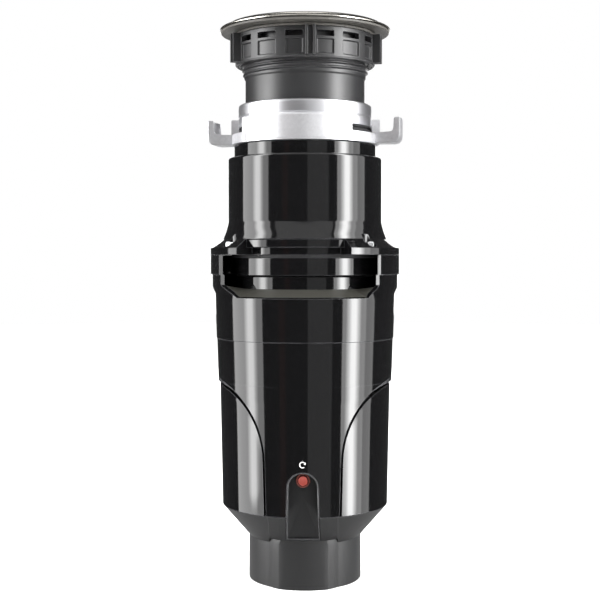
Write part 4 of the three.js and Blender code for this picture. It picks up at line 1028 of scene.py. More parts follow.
def housing_outline(relieved):
    """The housing's section: a plain flange, or behind the front relief a skirt under a rim."""
    if relieved:
        foot = [(49.9, HOUSING_Z), (49.9, HOUSING_Z + 4.8), (54.7, HOUSING_Z + 4.8),
                (54.7, SHOULDER_Z - 0.6, 0.2)]
    else:
        foot = [(DECK_R, HOUSING_Z), (DECK_R, EAR_TOP_Z), (61.4, EAR_TOP_Z + 1.7, 0.1),
                (58.6, EAR_TOP_Z + 3.6, 0.1)]
    flare = [(55.7, SHOULDER_Z, 0.3), (53.34, SHOULDER_Z + 5.75, 4), (51.9, HOUSING_Z + 21.8, 0.5)]
    upper = [(51.9, BARREL_TOP_Z, 1.6), (47.9, BARREL_TOP_Z, 0.5), (47.9, COLLAR_TOP_Z), (44.9, COLLAR_TOP_Z),
             (44.9, HOUSING_TOP_Z), (38.5, HOUSING_TOP_Z), (38.5, BARREL_TOP_Z), (47.6, BARREL_TOP_Z - 4)]
    inner = [(47.6, HOUSING_Z + 11.9), (CHAMBER_R, HOUSING_Z + 11.9), (CHAMBER_R, HOUSING_Z)]
    return rounded(foot + flare + upper + inner)


def upright(place, azimuth):
    """The matrix that turns a piece about Z to an azimuth and moves it to a place."""
    return Matrix.Translation(place) @ Matrix.Rotation(radians(azimuth), 4, "Z")


def screw_place(index, z=0.0):
    return polar(SCREW_CIRCLE_R, SCREW_AZIMUTHS[index], z)


def upper_housing():
    """The hopper housing: screw flange, front relief, flared shoulder, barrel and collar."""
    relieved = housing_outline(True)
    plain = housing_outline(False)
    rings = [section(relieved, lerp(EAR_LEFT, EAR_RIGHT, k / 30)) for k in range(31)]
    rings += [section(plain, lerp(EAR_RIGHT, 360 + EAR_LEFT, k / 120)) for k in range(121)]
    shape = Shape().loft(rings)
    pockets = []
    for index in range(len(SCREW_AZIMUTHS)):
        x, y, _ = screw_place(index)
        pockets.append(rod((x, y, EAR_TOP_Z - 0.5), (x, y, SHOULDER_Z + 3), 4.4, 40))
    for azimuth in (-74, -68, 69, 75):
        pip = Shape().turn([(0, -0.4), (0.9, -0.4), (0.9, 0.4, 0.4), (0, 0.6)], 16, 0.1)
        shape.joined(pip.moved(upright(polar(47.9, azimuth, BARREL_TOP_Z + 3), azimuth) @ FACE_FRONT))
    lug = [(62.6, HOUSING_Z - 3.2), (64.5, HOUSING_Z - 3.2), (64.9, HOUSING_Z - 1.5),
           (64.9, EAR_TOP_Z - 0.3), (62.6, EAR_TOP_Z - 0.3)]
    shape.sector(lug, 45, 63, fillet=0.2)
    make("upper_housing", shape, bevel=0.3, cuts=pockets, crease=40)


def hex_screw(place, head_h, shank_l):
    """A hexagon head with a chamfered crown and a flange, over a plain shank."""
    hexagon = []
    for z, share in ((0.9, 1.0), (head_h * 0.78, 1.0), (head_h, 0.82)):
        hexagon.append([Vector(polar(SCREW_HEAD_R * share, 60 * k, z)) for k in range(6)])
    flange_r = SCREW_HEAD_R * 1.12
    shank_r = SCREW_SHANK_R
    screw = Shape().loft(hexagon, around=False)
    screw.turn([(0, 0), (flange_r, 0), (flange_r, 0.6, 0.2), (SCREW_HEAD_R * 0.9, 1.0), (0, 1.0)], 48, 0.1)
    screw.turn([(0, -shank_l), (shank_r * 0.8, -shank_l), (shank_r, -shank_l + 0.8), (shank_r, 0.2),
                (0, 0.2)], 24, 0.1)
    return screw.moved(place)


def housing_screw(index):
    node = f"housing_screw_{index + 1}"
    z = EAR_TOP_Z - 0.4
    place = upright(screw_place(index, z), SCREW_AZIMUTHS[index])
    make(node, hex_screw(place, high(node) - z, z - HOUSING_Z - 0.2), bevel=0.12)


# ---------------------------------------------------------------- lock ring, seal and mounting flange

def lock_ring():
    """A cast ring with a high front wall, a higher back wall and two finger hooks."""
    bore = RING_R + 0.7
    outer = bore + 3.6
    top = LOCK_Z + 6.9
    shape = Shape().turn([(bore, LOCK_Z), (outer, LOCK_Z), (outer, top), (bore, top)], fillet=0.5)

    def high_wall(wall, height, start, end):
        outline = [(bore, LOCK_Z + 1), (bore + wall, LOCK_Z + 1), (bore + wall, LOCK_Z + height),
                   (bore, LOCK_Z + height)]
        shape.sector(outline, start, end, fillet=0.6)

    high_wall(3.9, 16.4, -54, 39)
    high_wall(4.5, 16.4, -54, -50)
    high_wall(4.5, 16.4, 35, 39)
    high_wall(5.6, LOCK_TOP_Z - LOCK_Z, 97, 262)
    foot = LOCK_Z + 0.8
    tip = foot + 16.6
    hook = [(bore + 1, foot), (HOOK_R, foot, 5.2), (HOOK_R, tip, 0.9), (HOOK_R - 3.6, tip, 0.9),
            (HOOK_R - 3.6, LOCK_Z + 7.4, 3.4), (bore + 1, LOCK_Z + 7.4)]
    for start in (72, 252):
        shape.sector(hook, start, start + 18, fillet=0.6, round_ends=0.7, step=1.5)
    make("lock_ring", shape, crease=36)


def neck_seal():
    bottom, top = span("neck_seal")
    outline = [(38.5, bottom), (44.4, bottom)]
    for k in range(3):
        z = lerp(bottom, top, (k + 0.5) / 3)
        outline += [(44.4, z - 0.7, 0.3), (42.9, z, 0.3), (44.4, z + 0.7, 0.3)]
    outline += [(44.4, top), (38.5, top)]
    make("neck_seal", Shape().turn(outline, fillet=0.3))


def mounting_flange():
    bore = NECK_R + 0.4
    groove_r = RING_R - 0.35
    outline = [(bore, RING_Z), (RING_R, RING_Z), (RING_R, RING_Z + 5.6, 0.2), (groove_r, RING_Z + 6, 0.2),
               (groove_r, RING_Z + 6.6, 0.2), (RING_R, RING_Z + 7, 0.2), (RING_R, RING_TOP_Z, 2.0),
               (bore, RING_TOP_Z, 0.7)]
    make("mounting_flange", Shape().turn(outline))


# ---------------------------------------------------------------- threaded neck, nut and sink flange

def neck_sleeve():
    """The neck with a true helical thread near its top."""
    foot = low("neck_sleeve")
    thread_z = foot + 34
    bore = 37.7
    outline = [(bore, foot), (NECK_R, foot), (NECK_R, thread_z - 2.2, 0.5),
               (THREAD_ROOT_R, thread_z - 1, 0.4), (THREAD_ROOT_R, NECK_TOP_Z), (39.8, NECK_TOP_Z),
               (bore, NECK_TOP_Z - 8)]
    shape = Shape().turn(outline)
    steps = round(THREAD_TURNS * 96)
    rings = []
    for k in range(steps + 1):
        azimuth = -150 + 360 * THREAD_TURNS * k / steps
        z = thread_z + 0.4 + THREAD_PITCH * THREAD_TURNS * k / steps
        fade = min(1, k / 30, (steps - k) / 30)
        crest = lerp(THREAD_ROOT_R + 0.05, THREAD_R, fade)
        flank = [(THREAD_ROOT_R - 0.4, 1.25), (THREAD_ROOT_R + 0.1, 1.1), (crest - 0.15, 0.35), (crest, 0.15)]
        ring = [polar(radius, azimuth, z - drop) for radius, drop in flank]
        ring += [polar(radius, azimuth, z + rise) for radius, rise in reversed(flank)]
        rings.append(ring)
    shape.loft(rings, around=False)
    make("neck_sleeve", shape, crease=45)


NUT_R = 47
NUT_BORE_R = 43
NUT_LUGS = 5
NUT_LUG_AZIMUTH = 5.4
NUT_SPANS = ((5.5, 19.5), (27.5, 44.5), (52.5, 66.5))


def mounting_nut():
    """A castellated nut: windows over recessed panels, plain ribs between, and paired wrench lugs."""
    window_top = NUT_TOP_Z - 2.6
    window_low = window_top - 3.6
    levels = [NUT_Z, NUT_Z + 1.6, NUT_Z + 2.1, window_low - 2.2, window_low - 1.7, window_low,
              window_top, NUT_TOP_Z]
    marks = []
    for lug in range(NUT_LUGS):
        turn = NUT_LUG_AZIMUTH + lug * 360 / NUT_LUGS
        for start, end in NUT_SPANS:
            marks += [(turn + start, False), (turn + end, False)]
            marks += [(turn + lerp(start + 0.7, end - 0.7, k / 5), True) for k in range(6)]
        marks += [(turn + rib, False) for rib in (3, 23.5, 48.5, 69, 72)]
    marks = sorted(set(marks))
    marks.append((marks[0][0] + 360, False))
    rows = []
    for level, z in enumerate(levels):
        row = []
        for azimuth, inside in marks:
            recess = 1.1 if inside and 2 <= level <= 3 else 0
            row.append((polar(NUT_R - recess, azimuth, z), polar(NUT_BORE_R, azimuth, z)))
        rows.append(row)

    def in_window(middle):
        turn = (middle - NUT_LUG_AZIMUTH) % 72
        return any(start < turn < end for start, end in NUT_SPANS)

    window = levels.index(window_low)
    patches = [rows[:window + 1], rows[window + 1:]]
    for k in range(len(marks) - 1):
        if not in_window((marks[k][0] + marks[k + 1][0]) / 2):
            patches.append([rows[window][k:k + 2], rows[window + 1][k:k + 2]])
    shape = Shape().wall(patches)
    for lug in range(NUT_LUGS):
        turn = Matrix.Rotation(radians(NUT_LUG_AZIMUTH + lug * 360 / NUT_LUGS), 4, "Z")
        for side in (-1, 1):
            x = side * 2.4
            rib = Shape().block((x - 0.8, x + 0.8), (-52.2, -46.2), (NUT_Z, NUT_TOP_Z))
            shape.joined(rib.moved(turn))
        bridge = Shape().block((-2, 2), (-48.4, -46.2), (NUT_Z + 0.6, NUT_TOP_Z - 0.4))
        shape.joined(bridge.moved(turn))
    for radius in (44.2, 45.9):
        shape.turn([(radius - 0.5, NUT_Z + 0.5), (radius + 0.5, NUT_Z + 0.5), (radius + 0.4, NUT_Z - 0.6),
                    (radius - 0.4, NUT_Z - 0.6)], fillet=0.2)
    make("mounting_nut", shape, bevel=0.3, crease=30)


def flange_gasket():
    z, top = span("flange_gasket")
    outer = reach("flange_gasket")
    outline = [(44, z), (outer, z, 0.7), (outer, top, 0.7), (44, top)]
    make("flange_gasket", Shape().turn(outline, fillet=0.5))


def sink_flange():
    """A spun flange with a rolled lip, a crowned rim and a bowl that leads down into its sleeve."""
    lip = low("sink_flange") + 34
    top = FLANGE_TOP_Z
    outline = [(FLANGE_R, lip, 0.35), (FLANGE_R, lip + 0.9, 0.4), (53.4, lip + 2.0, 1.2), (51.6, top, 1.4),
               (48.6, top, 1.2), (44.4, top - 1.4, 2.4), (38.4, top - 9.0, 2.6), (36.5, top - 15.5, 2.4),
               (36.5, low("sink_flange"), 0.2), (37.3, low("sink_flange"), 0.2), (37.3, top - 15.3, 2.0),
               (39.2, top - 9.4, 2.2), (42.2, lip - 0.9, 1.5), (44.4, lip, 0.6)]
    make("sink_flange", Shape().turn(outline, 192))


def splash_guard():
    """A rubber cup whose dished floor is slit into flaps round a small middle hole."""
    bottom, top = span("splash_guard")
    outer = reach("splash_guard")
    flaps = 6
    shape = Shape().turn([(outer - 2.4, bottom + 0.6), (outer, bottom), (outer, top, 0.8),
                          (outer - 1.4, top, 0.5), (outer - 2.4, top - 1.2, 0.5)], 96)
    for flap in range(flaps):
        middle = 360 * (flap + 0.5) / flaps
        rows = []
        for k in range(13):
            radius = lerp(2.8, outer - 1.6, k / 12)
            dish = 1.5 * (1 - (radius / outer) ** 2)
            half = 180 / flaps - degrees(0.45 / radius)
            row = []
            for j in range(13):
                azimuth = middle + lerp(-half, half, j / 12)
                sag = 0.25 * cos(pi * (j / 12 - 0.5))
                z = bottom + 2.4 - dish + sag
                row.append((polar(radius, azimuth, z), polar(radius, azimuth, z - 1.7)))
            rows.append(row)
        shape.wall([rows])
    make("splash_guard", shape, bevel=0.2)


# ---------------------------------------------------------------- drain chamber and discharge elbow

def plate_rings(y0, y1, sides):
    """The outline of the bolted plates across the outlet, at two depths."""
    rings = []
    for y in (y0, y1):
        ring = []
        for k in range(sides):
            turn = 2 * pi * k / sides
            x = held(cos(turn) * (PLATE_HALF_X + 4), PLATE_HALF_X)
            ring.append((x, y, OUTLET_Z + held(sin(turn) * (PLATE_HALF_Z + 6), PLATE_HALF_Z)))
        rings.append(ring)
    return rings


def bolt_holes(y0, y1):
    return [rod((x, y0, OUTLET_Z), (x, y1, OUTLET_Z), BOLT_HOLE_R, 24) for x in (-BOLT_X, BOLT_X)]


def drain_chamber():
    """The pot under the turntable with its stepped rim and bolted outlet."""
    face = high("drain_chamber", 1)
    foot, top = span("drain_chamber")
    step = DECK_Z - CHAMBER_STEP_DROP
    outline = [(9, foot + 15), (31, foot + 15), (31, foot), (34, foot), (34, foot + 14.8),
               (CHAMBER_R, foot + 15.6, 1.2), (CHAMBER_R, step - 1, 0.6), (CHAMBER_RIM_R, step, 0.3),
               (CHAMBER_RIM_R, top), (CHAMBER_R, top), (CHAMBER_R, step + 2.6), (43.5, step + 2.6),
               (43.5, foot + 18), (12, foot + 19), (12, foot + 23), (9, foot + 23)]
    pipe = rod((0, 42, OUTLET_Z), (0, face - 2, OUTLET_Z), OUTLET_R, 72)
    plate = Shape().loft(plate_rings(face - 4, face, 72), around=False)
    bore = rod((0, 38, OUTLET_Z), (0, face + 1, OUTLET_Z), OUTLET_BORE_R, 72)
    piece = make("drain_chamber", Shape().turn(outline), crease=36)
    carve(piece, "UNION", pipe, plate)
    carve(piece, "DIFFERENCE", bore, *bolt_holes(face - 9, face + 1))
    soften(piece, 0.35, 50, 36, 2, "MITER_SHARP")


def discharge_elbow():
    """A moulded elbow from the outlet down to its tail, with a clamping bead and two sealing rings."""
    z = OUTLET_Z
    start = low("discharge_elbow", 1)
    bend_y = start + 10
    bend_r = 26
    tail = low("discharge_elbow")
    path = [(0, start, z), (0, start + 2.4, z), (0, start + 2.5, z), (0, bend_y, z)]
    for k in range(1, 25):
        turn = pi / 2 * k / 24
        path.append((0, bend_y + bend_r * sin(turn), z - bend_r * (1 - cos(turn))))
    last_y = bend_y + bend_r
    path += [(0, last_y, tail + 12), (0, last_y, tail + 0.8), (0, last_y, tail)]
    radii = [21.5] * 2 + [OUTLET_R] * 28 + [18.4]
    outer = Shape().sweep(path, radii, 72)
    inner_path = [(0, start - 1, z), (0, start + 3, z)] + path[3:-2] + [(0, last_y, tail - 1)]
    inner = Shape().sweep(inner_path, OUTLET_BORE_R, 72)
    piece = make("discharge_elbow", outer, crease=36)
    rings = []
    for height in (6, 10):
        band = Shape().turn([(18.6, 0), (OUTLET_R, 0), (19.7, 0.6, 0.3), (19.7, 1.2, 0.3),
                             (OUTLET_R, 1.8), (18.6, 1.8)], 72, 0.1)
        rings.append(band.moved(Matrix.Translation((0, last_y, tail + height))))
    carve(piece, "UNION", *rings)
    carve(piece, "DIFFERENCE", inner)
    soften(piece, 0.3, 50, 36, 2, "MITER_SHARP")


def elbow_gasket():
    y0, y1 = span("elbow_gasket", 1)
    bore = rod((0, y0 - 1, OUTLET_Z), (0, y1 + 1, OUTLET_Z), OUTLET_BORE_R, 72)
    rings = []
    for y in (y0, y1):
        turns = [2 * pi * k / 96 for k in range(96)]
        rings.append([(21.5 * cos(turn), y, OUTLET_Z + 21.5 * sin(turn)) for turn in turns])
    make("elbow_gasket", Shape().loft(rings, around=False), bevel=0.3, cuts=[bore])


def elbow_flange():
    """The steel plate that clamps the elbow."""
    y0, y1 = span("elbow_flange", 1)
    bore = rod((0, y0 - 1, OUTLET_Z), (0, y1 + 1, OUTLET_Z), 19.6, 72)
    shape = Shape().loft(plate_rings(y0, y1, 96), around=False)
    make("elbow_flange", shape, bevel=0.3, cuts=[bore, *bolt_holes(y0 - 1, y1 + 1)])


def elbow_screw(node, side):
    seat = high("elbow_flange", 1) + 0.3
    place = Matrix.Translation((side * BOLT_X, seat, OUTLET_Z)) @ FACE_BACK
    make(node, hex_screw(place, high(node, 1) - seat, seat - low(node, 1)), bevel=0.12)


def cord_gland():
    """The mains inlet bush: a rounded lip, a waist and a bore."""
    back = high("cord_gland", 1)
    depth = back - low("cord_gland", 1)
    shape = Shape().turn([(4, -depth), (7, -depth, 0.8), (7, -2.2), (9.4, -2.2, 0.4), (9.4, -0.8, 0.6),
                          (7.4, 0, 0.6), (4, 0, 0.8)], 72, 0.3)
    shape.moved(Matrix.Translation((0, back, GLAND_Z)) @ FACE_BACK)
    make("cord_gland", shape)


# ---------------------------------------------------------------- parts inside

def bottom_plate():
    """The floor plate with its stiffening lip, vents and a raised ring."""
    outer = reach("bottom_plate")
    shape = Shape().turn([(0, 0.6), (14, 0.6, 1), (15, 0, 1), (outer - 3, 0), (outer, 0.4, 0.3), (outer, 5.2),
                          (outer - 2.4, 5.2), (outer - 2.4, 2.6), (0, 2.6)])
    make("bottom_plate", shape, bevel=0.2, cuts=spaced(8, (-1.2, 1.2), (18, 28), (-1, 4)))


def ring_node(node, outer, bore, fillet=FILLET, sides=96):
    """A plain ring as high as its node."""
    z, top = span(node)
    make(node, Shape().turn([(bore, z), (outer, z), (outer, top), (bore, top)], sides, fillet))


def chamber_gasket():
    """The seal between the drain chamber and the housing, pressed out to fill the joint."""
    z = low("chamber_gasket") - 0.28
    top = HOUSING_Z - 0.02
    outline = [(CHAMBER_R, z), (49.7, z), (49.9, (z + top) / 2), (49.7, top), (CHAMBER_R, top)]
    make("chamber_gasket", Shape().turn(outline))


def turntable():
    z, top = span("turntable")
    outer = reach("turntable")
    plate = top - 2.2
    shape = Shape().turn([(SHAFT_BORE_R, z), (12, z), (12, plate, 1), (outer - 2, plate, 0.4),
                          (outer - 2, plate - 1.6), (outer, plate - 1.6), (outer, top, 0.8),
                          (SHAFT_BORE_R, top)])
    holes = []
    for side in (-1, 1):
        x = side * IMPELLER_X
        holes.append(rod((x, 0, plate - 1), (x, 0, top + 1), PIN_HOLE_R, 32))
        for radius in (15, 25, 35):
            place = (side * radius * 0.3, side * radius)
            holes.append(rod((*place, plate - 1), (*place, top + 1), 2.2, 24))
    make("turntable", shape, bevel=0.15, cuts=holes)


def impeller(node, side):
    """A swinging hammer: a flat lug on its pin with a tall toe at the free end."""
    z, toe_top = span(node)
    shift = 20  # keeps the outline clear of the axis while its corners are rounded
    outline = [(-6, -6, 2.4), (6, -6, 2.4), (6, 11.5, 0.6), (3, 13.5, 0.6), (-6, 13.5, 0.8)]
    corners = rounded([(x + shift, y, arc) for x, y, arc in outline], steps=6)
    rings = [[(p.x - shift, p.y, height) for p in corners] for height in (z, z + 3)]
    shape = Shape().loft(rings, around=False)
    shape.block((-6, 3), (9.5, 13.5), (z + 0.1, toe_top))
    place = upright((side * IMPELLER_X, 0, 0), 0 if side > 0 else 180)
    hole = rod((0, 0, z - 1), (0, 0, z + 4), PIN_HOLE_R, 32)
    make(node, shape.moved(place), bevel=0.4, cuts=[hole.moved(place)])


def impeller_pin(node, side):
    z, top = span(node)
    foot = z + 2.3
    shape = Shape().turn([(0, z), (4.6, z, 0.5), (4.6, foot), (2.6, foot), (2.6, top - 1.6), (4.6, top - 1.6),
                          (4.6, top - 0.5, 0.6), (2.6, top, 1.0), (0, top)], 48, 0.2)
    make(node, shape.moved(Matrix.Translation((side * IMPELLER_X, 0, 0))))


def turntable_nut():
    z, top = span("turntable_nut")
    rings = []
    for height, share in ((z, 0.94), (z + 0.5, 1), (top - 0.6, 1), (top, 0.9)):
        rings.append([polar(9 * share, 60 * k, height) for k in range(6)])
    bore = rod((0, 0, z - 1), (0, 0, top + 1), SHAFT_BORE_R)
    make("turntable_nut", Shape().loft(rings, around=False), bevel=0.2, cuts=[bore])


def grind_ring():
    z, top = span("grind_ring")
    outer = reach("grind_ring")
    bore = outer - 2.8
    shape = Shape().turn([(bore, z), (outer, z), (outer, top), (bore, top)])
    slots = spaced(12, (-1.6, 1.6), (bore - 3, bore + 1.5), (z - 1, z + 9))
    make("grind_ring", shape, bevel=0.2, cuts=slots)


def motor_can():
    z, top = span("motor_can")
    make("motor_can", Shape().turn([
        (40.6, z), (43, z), (43, z + 5, 0.4), (43, top, 3), (18, top, 0.5), (17, top - 0.6, 0.4),
        (8, top - 0.6), (8, top - 2.1), (13.3, top - 2.1), (13.3, top - 9.8), (16.5, top - 9.8),
        (16.5, top - 2.4, 0.8), (40.6, top - 2.4, 1.5)]))


def end_bell():
    z, top = span("end_bell")
    shape = Shape().turn([(8, z), (16.5, z, 1), (16.5, top - 3.6, 1.5), (43, top - 3.6, 0.8), (43, top),
                          (13.3, top), (13.3, z + 1.7), (8, z + 1.7)])
    vents = []
    for k in range(6):
        x, y, _ = polar(30, 60 * k + 30, 0)
        vents.append(rod((x, -y, top - 8), (x, -y, top + 2), 4.5, 32))
    make("end_bell", shape, bevel=0.2, cuts=vents)


def bearing(node):
    """A shielded ball bearing: outer race, dished shields and inner race."""
    z, top = span(node)
    make(node, Shape().turn([
        (SHAFT_BORE_R, z), (8.2, z, 0.3), (8.2, z + 0.4, 0.1), (11, z + 0.4, 0.1), (11, z, 0.3),
        (13, z, 0.5), (13, top, 0.5), (11, top, 0.3), (11, top - 0.4, 0.1), (8.2, top - 0.4, 0.1),
        (8.2, top, 0.3), (SHAFT_BORE_R, top)], 64, 0.3))


def magnet(node, side):
    z, top = span(node)
    outer = 40.3
    outline = [(outer - 5.6, z, 0.8), (outer, z), (outer, top), (outer - 5.6, top, 0.8)]
    make(node, Shape().sector(outline, side * 90 - 68, side * 90 + 68, round_ends=0.8))


def armature_core():
    """The stack of slotted laminations."""
    z, top = span("armature_core")
    outer = 33.5
    slots = 12
    outline = []
    for k in range(slots):
        middle = 360 * k / slots
        mouth = degrees(1.6 / outer)
        wide = mouth * 1.6
        outline += [(middle - wide, outer), (middle - mouth, outer - 1.2), (middle - wide, outer - 11),
                    (middle + wide, outer - 11), (middle + mouth, outer - 1.2)]
        outline += [(lerp(middle + wide, middle + 360 / slots - wide, j / 5), outer) for j in range(5)]
    rings = []
    sheets = 26
    for k in range(sheets + 1):
        height = lerp(z, top, k / sheets)
        rings.append([polar(r - (0.12 if k % 2 else 0), a, height) for a, r in outline])
    shape = Shape().loft(rings, around=False)
    bore = rod((0, 0, z - 1), (0, 0, top + 1), SHAFT_BORE_R)
    make("armature_core", shape, cuts=[bore], crease=25)


def winding(node):
    """The end turns of the armature: a ring of overlapping coil bundles."""
    z, top = span(node)
    middle = (z + top) / 2
    inner, outer = 13.6, 31.4
    shape = Shape()
    coils = 12
    for k in range(coils):
        path = []
        radii = []
        for j in range(17):
            share = j / 16
            azimuth = 360 * k / coils + lerp(-38, 38, share)
            arc = sin(pi * share)
            radius = lerp(outer - 3, inner + 3.2, arc ** 0.7)
            path.append(polar(radius, azimuth, middle + 0.6 * cos(2 * pi * share)))
            radii.append(2.6 + 0.5 * arc)
        shape.sweep(path, radii, 20)
    shape.turn([(inner + 1, middle - 2.2, 1.6), (outer - 2, middle - 2.2, 1.6),
                (outer - 2, middle + 2.2, 1.6), (inner + 1, middle + 2.2, 1.6)], 96)
    make(node, shape, crease=40)


def commutator():
    """Copper bars round the shaft, parted by thin gaps."""
    z, top = span("commutator")
    bars = 24
    shape = Shape().turn([(SHAFT_BORE_R, z), (11.6, z), (11.6, top), (SHAFT_BORE_R, top)], 72, 0.2)
    for k in range(bars):
        start = 360 * k / bars
        shape.sector([(11, z + 0.2), (12.5, z + 0.2), (12.5, top - 1.5), (11, top - 1.5)], start + 0.9,
                     start + 360 / bars - 0.9, fillet=0.15, round_ends=0.1, step=6)
    make("commutator", shape)


def rotor_shaft():
    z, top = span("rotor_shaft")
    outline = [(0, z), (6, z, 1), (6, top - 8), (5.6, top - 7.8), (5.6, top, 0.8), (0, top)]
    make("rotor_shaft", Shape().turn(outline, 72, 0.2))


def box_node(node, bevel, cuts=()):
    make(node, Shape().block(span(node, 0), span(node, 1), span(node)), bevel=bevel, cuts=cuts)


def brush_holder(node, side):
    near, far = sorted(abs(x) for x in span(node, 0))
    y0, y1 = span(node, 1)
    z0, z1 = span(node)
    depth = sorted((side * (near - 1), side * (far - 1.5)))
    box_node(node, 0.4, [Shape().block(depth, (y0 + 1.5, y1 - 1.5), (z0 + 1.5, z1 - 1.5))])


def overload_protector():
    """The moulded body behind the reset button, with a well for its stem and a groove."""
    front = low("overload_protector", 1)
    well = rod((0, front - 1, RESET_Z), (0, front + 5, RESET_Z), STEM_HOLE_R, 32)
    groove = Shape().block((-12, 12), (front + 6, front + 7), (RESET_Z - 14, RESET_Z - 11))
    box_node("overload_protector", 0.8, [well, groove])


def terminal_block():
    foot = low("terminal_block")
    wells = [Shape().block((x - 1.5, x + 1.5), (8, 16), (foot + 6, foot + 13)) for x in (-18, -13, -8)]
    box_node("terminal_block", 0.5, wells)


def rectifier():
    foot = low("rectifier")
    box_node("rectifier", 0.9, [rod((13, 0, foot - 1), (13, 0, foot + 10), 2.4, 32)])


# ---------------------------------------------------------------- a plain printed arrow over the reset niche

def reset_mark():
    """A generic turn-back arrow, printed on the shell above the niche."""
    z = NICHE_ARCH_Z + NICHE_HALF + 5.2
    shape = Shape()
    steps = 28
    rows = []
    for k in range(steps + 1):
        turn = radians(lerp(-215, 50, k / steps))
        row = []
        for radius in (1.55, 2.05):
            x = radius * sin(turn)
            height = z + radius * cos(turn)
            row.append(((x, cover_y(x, height) - 0.05, height), (x, cover_y(x, height) + 0.05, height)))
        rows.append(row)
    shape.wall([rows])
    head = []
    for radius, degree in ((0.9, 50), (2.7, 50), (1.8, 92)):
        turn = radians(degree)
        head.append((radius * sin(turn), z + radius * cos(turn)))
    rings = [[(x, cover_y(x, height) + depth, height) for x, height in head] for depth in (-0.05, 0.05)]
    shape.loft(rings, around=False)
    mark = placed("reset_mark", to_mesh("reset_mark", shape))
    mark.data.materials.append(MATERIALS["printed_ink"])
    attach(mark, BODY_OF["main_shell"])


# ---------------------------------------------------------------- floor, light and camera

STRIP_TOP_Z = 1.7  # metres


def floor_piece(name, height, outer):
    """A flat disc on the floor."""
    sides = 96
    rings = [[polar(radius, 360 * k / sides, height) for k in range(sides)] for radius in (0.5, outer)]
    bm = bmesh.new()
    corners = [[bm.verts.new(Vector(point) * MM) for point in ring] for ring in rings]
    for k in range(sides):
        j = (k + 1) % sides
        bm.faces.new([corners[0][k], corners[0][j], corners[1][j], corners[1][k]])
    bmesh.ops.remove_doubles(bm, verts=bm.verts, dist=0.001)
    bmesh.ops.recalc_face_normals(bm, faces=bm.faces)
    if sum(face.normal.z for face in bm.faces) < 0:
        bmesh.ops.reverse_faces(bm, faces=bm.faces)
    mesh = bpy.data.meshes.new(name)
    bm.to_mesh(mesh)
    bm.free()
    return placed(name, mesh)


def floor():
    """A pale floor. Glossy faces pick up only a dimmer card that lies on it, close to the object."""
    material, nodes, shader = blank("pale_floor")
    cloud = nodes.noise(object_place(nodes), 3.0, 2, 0.5)
    paper = mixed(nodes, cloud, (0.93, 0.93, 0.93), (0.96, 0.96, 0.96))
    nodes.link(paper, shader.inputs["Base Color"])
    shader.inputs["Roughness"].default_value = 0.9
    shader.inputs["Specular IOR Level"].default_value = 0.1
    shader.inputs["Emission Color"].default_value = (1, 1, 1, 1)
    shader.inputs["Emission Strength"].default_value = 0.2
    ground = floor_piece("studio_floor", -0.05, 3200)
    ground.data.materials.append(material)
    ground.visible_glossy = False
    card, nodes, shader = blank("grey_reflection_card")
    cloud = nodes.noise(object_place(nodes), 9.0, 2, 0.5)
    glow = mixed(nodes, cloud, (0.95, 0.95, 0.95), (1, 1, 1))
    nodes.link(glow, shader.inputs["Emission Color"])
    shader.inputs["Base Color"].default_value = (0, 0, 0, 1)
    shader.inputs["Emission Strength"].default_value = 0.6
    sheet = floor_piece("reflection_card", -0.03, 230)
    sheet.data.materials.append(card)
    sheet.visible_camera = False
    sheet.visible_diffuse = False
    sheet.visible_shadow = False


def panel_light(name, place, width, height, radiance, colour=(1, 1, 1)):
    """A rectangle of light, in metres, that looks down until it is turned."""
    data = bpy.data.lights.new(name, "AREA")
    data.shape = "RECTANGLE"
    data.size = width
    data.size_y = height
    data.energy = radiance * pi * width * height
    data.color = colour
    lamp = placed(name, data)
    lamp.location = place
    lamp.visible_camera = False
    return lamp


def strip_light(name, start, end, low_z, high_z, radiance, distance=1.3, colour=(1, 1, 1)):
    """A tall panel of light between two azimuths, facing the object. Heights are in metres."""
    middle = (start + end) / 2
    width = 2 * distance * tan(radians((end - start) / 2))
    place = polar(distance, middle, (low_z + high_z) / 2)
    lamp = panel_light(name, place, width, high_z - low_z, radiance, colour)
    lamp.rotation_euler = (radians(90), 0, radians(middle))


def soft_strip(name, middle, halves, low_z, radiance):
    """A tall strip that fades at its sides, built up from narrower and narrower panels."""
    for k, half in enumerate(halves):
        strip_light(f"{name}_{k + 1}", middle - half, middle + half, low_z, STRIP_TOP_Z, radiance,
                    distance=1.28 - 0.02 * k)


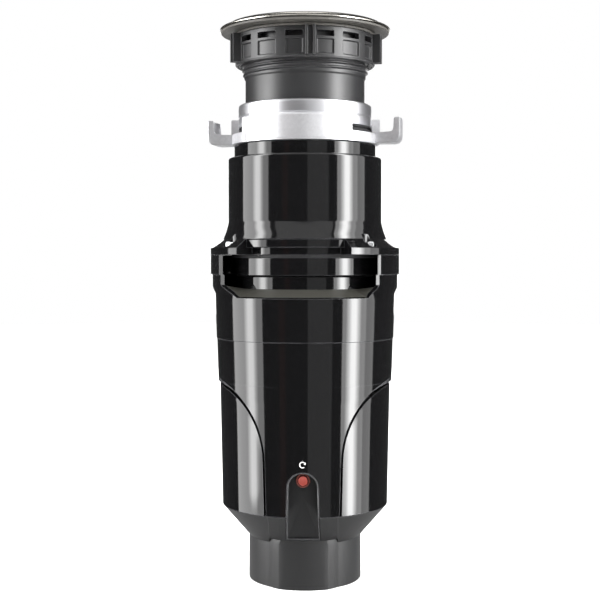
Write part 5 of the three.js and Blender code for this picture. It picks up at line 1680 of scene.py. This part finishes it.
def studio():
    world = bpy.data.worlds.new("studio_white")
    bpy.context.scene.world = world
    world.use_nodes = True
    nodes = Nodes(world.node_tree)
    world.node_tree.nodes.clear()
    path = nodes.add("ShaderNodeLightPath").outputs
    white = nodes.add("ShaderNodeBackground", {"Color": (1, 1, 1, 1), "Strength": 1.0}).outputs[0]
    dim = nodes.add("ShaderNodeBackground", {"Color": (1, 1, 1, 1), "Strength": 0.05}).outputs[0]
    mirror = nodes.add("ShaderNodeMixShader", {0: path["Is Glossy Ray"], 1: white, 2: dim}).outputs[0]
    nodes.add("ShaderNodeOutputWorld", {"Surface": mirror})
    strip_light("left_wide_strip", -101.5, -53, -0.4, STRIP_TOP_Z, 3.4)
    strip_light("left_outer_strip", -101.5, -66, -0.4, STRIP_TOP_Z, 1.7)
    soft_strip("left_core_strip", -71, (9.5, 8, 6.5, 5, 3.5), -0.22, 1.7)
    strip_light("right_wide_strip", 49, 99, -0.4, STRIP_TOP_Z, 2.6)
    strip_light("right_inner_strip", 49, 84, -0.4, STRIP_TOP_Z, 2.1)
    soft_strip("right_core_strip", 65, (10.5, 8.5, 6.5, 5, 3.5), -0.26, 3.3)
    strip_light("front_right_fill", 5, 36, -0.4, 0.9, 0.42)
    strip_light("front_warm_streak", -31, -23, -0.3, 0.45, 0.1, colour=(1, 0.3, 0.2))
    strip_light("front_high_fill", -45, 45, 0.95, 1.8, 1.0)
    strip_light("rear_fill", 165, 195, 0.1, 0.9, 3.0, 1.6)
    panel_light("overhead", (0, -0.1, 1.5), 1.3, 1.0, 2.4)


def camera():
    """The camera at eye level with the screw flange, a little right of straight ahead."""
    turn = 1.8
    distance = 0.826
    data = bpy.data.cameras.new("camera")
    data.lens = 72.9
    data.sensor_width = 36
    eye = placed("camera", data)
    sideways = Vector((cos(radians(turn)), sin(radians(turn)), 0)) * -0.0034
    eye.location = Vector(polar(distance, turn, 0.2175)) + sideways
    eye.rotation_euler = (radians(88), 0, radians(turn))
    bpy.context.scene.camera = eye


# ---------------------------------------------------------------- assembly

camera()
studio()
floor()
bpy.context.scene.view_settings.view_transform = "Standard"

base_cover()
main_shell()
for name, side in SIDE_OF.items():
    side_panel(f"side_panel_{name}", side)
reset_niche()
reset_bezel()
reset_button()
reset_mark()
upper_shell()
upper_housing()
for screw in range(len(SCREW_AZIMUTHS)):
    housing_screw(screw)
lock_ring()
neck_seal()
mounting_flange()
neck_sleeve()
mounting_nut()
ring_node("thrust_ring", NUT_R, NUT_BORE_R, 0.5, SIDES)
flange_gasket()
sink_flange()
splash_guard()
drain_chamber()
discharge_elbow()
elbow_gasket()
elbow_flange()
for name, side in SIDE_OF.items():
    elbow_screw(f"elbow_screw_{name}", side)
cord_gland()
bottom_plate()
ring_node("shaft_seal", 8.9, 6.4)
chamber_gasket()
ring_node("slinger", 20, 6.3)
ring_node("hopper_liner", 47.3, 46.3, 0.2, SIDES)
grind_ring()
turntable()
turntable_nut()
for name, side in SIDE_OF.items():
    impeller_pin(f"impeller_pin_{name}", side)
for name, side in SIDE_OF.items():
    impeller(f"impeller_{name}", side)
motor_can()
end_bell()
bearing("upper_bearing")
bearing("lower_bearing")
for name, side in SIDE_OF.items():
    magnet(f"magnet_{name}", side)
armature_core()
winding("winding_lower")
winding("winding_upper")
commutator()
rotor_shaft()
box_node("brush_left", 0.3)
box_node("brush_right", 0.3)
for name, side in SIDE_OF.items():
    brush_holder(f"brush_holder_{name}", side)
overload_protector()
terminal_block()
rectifier()
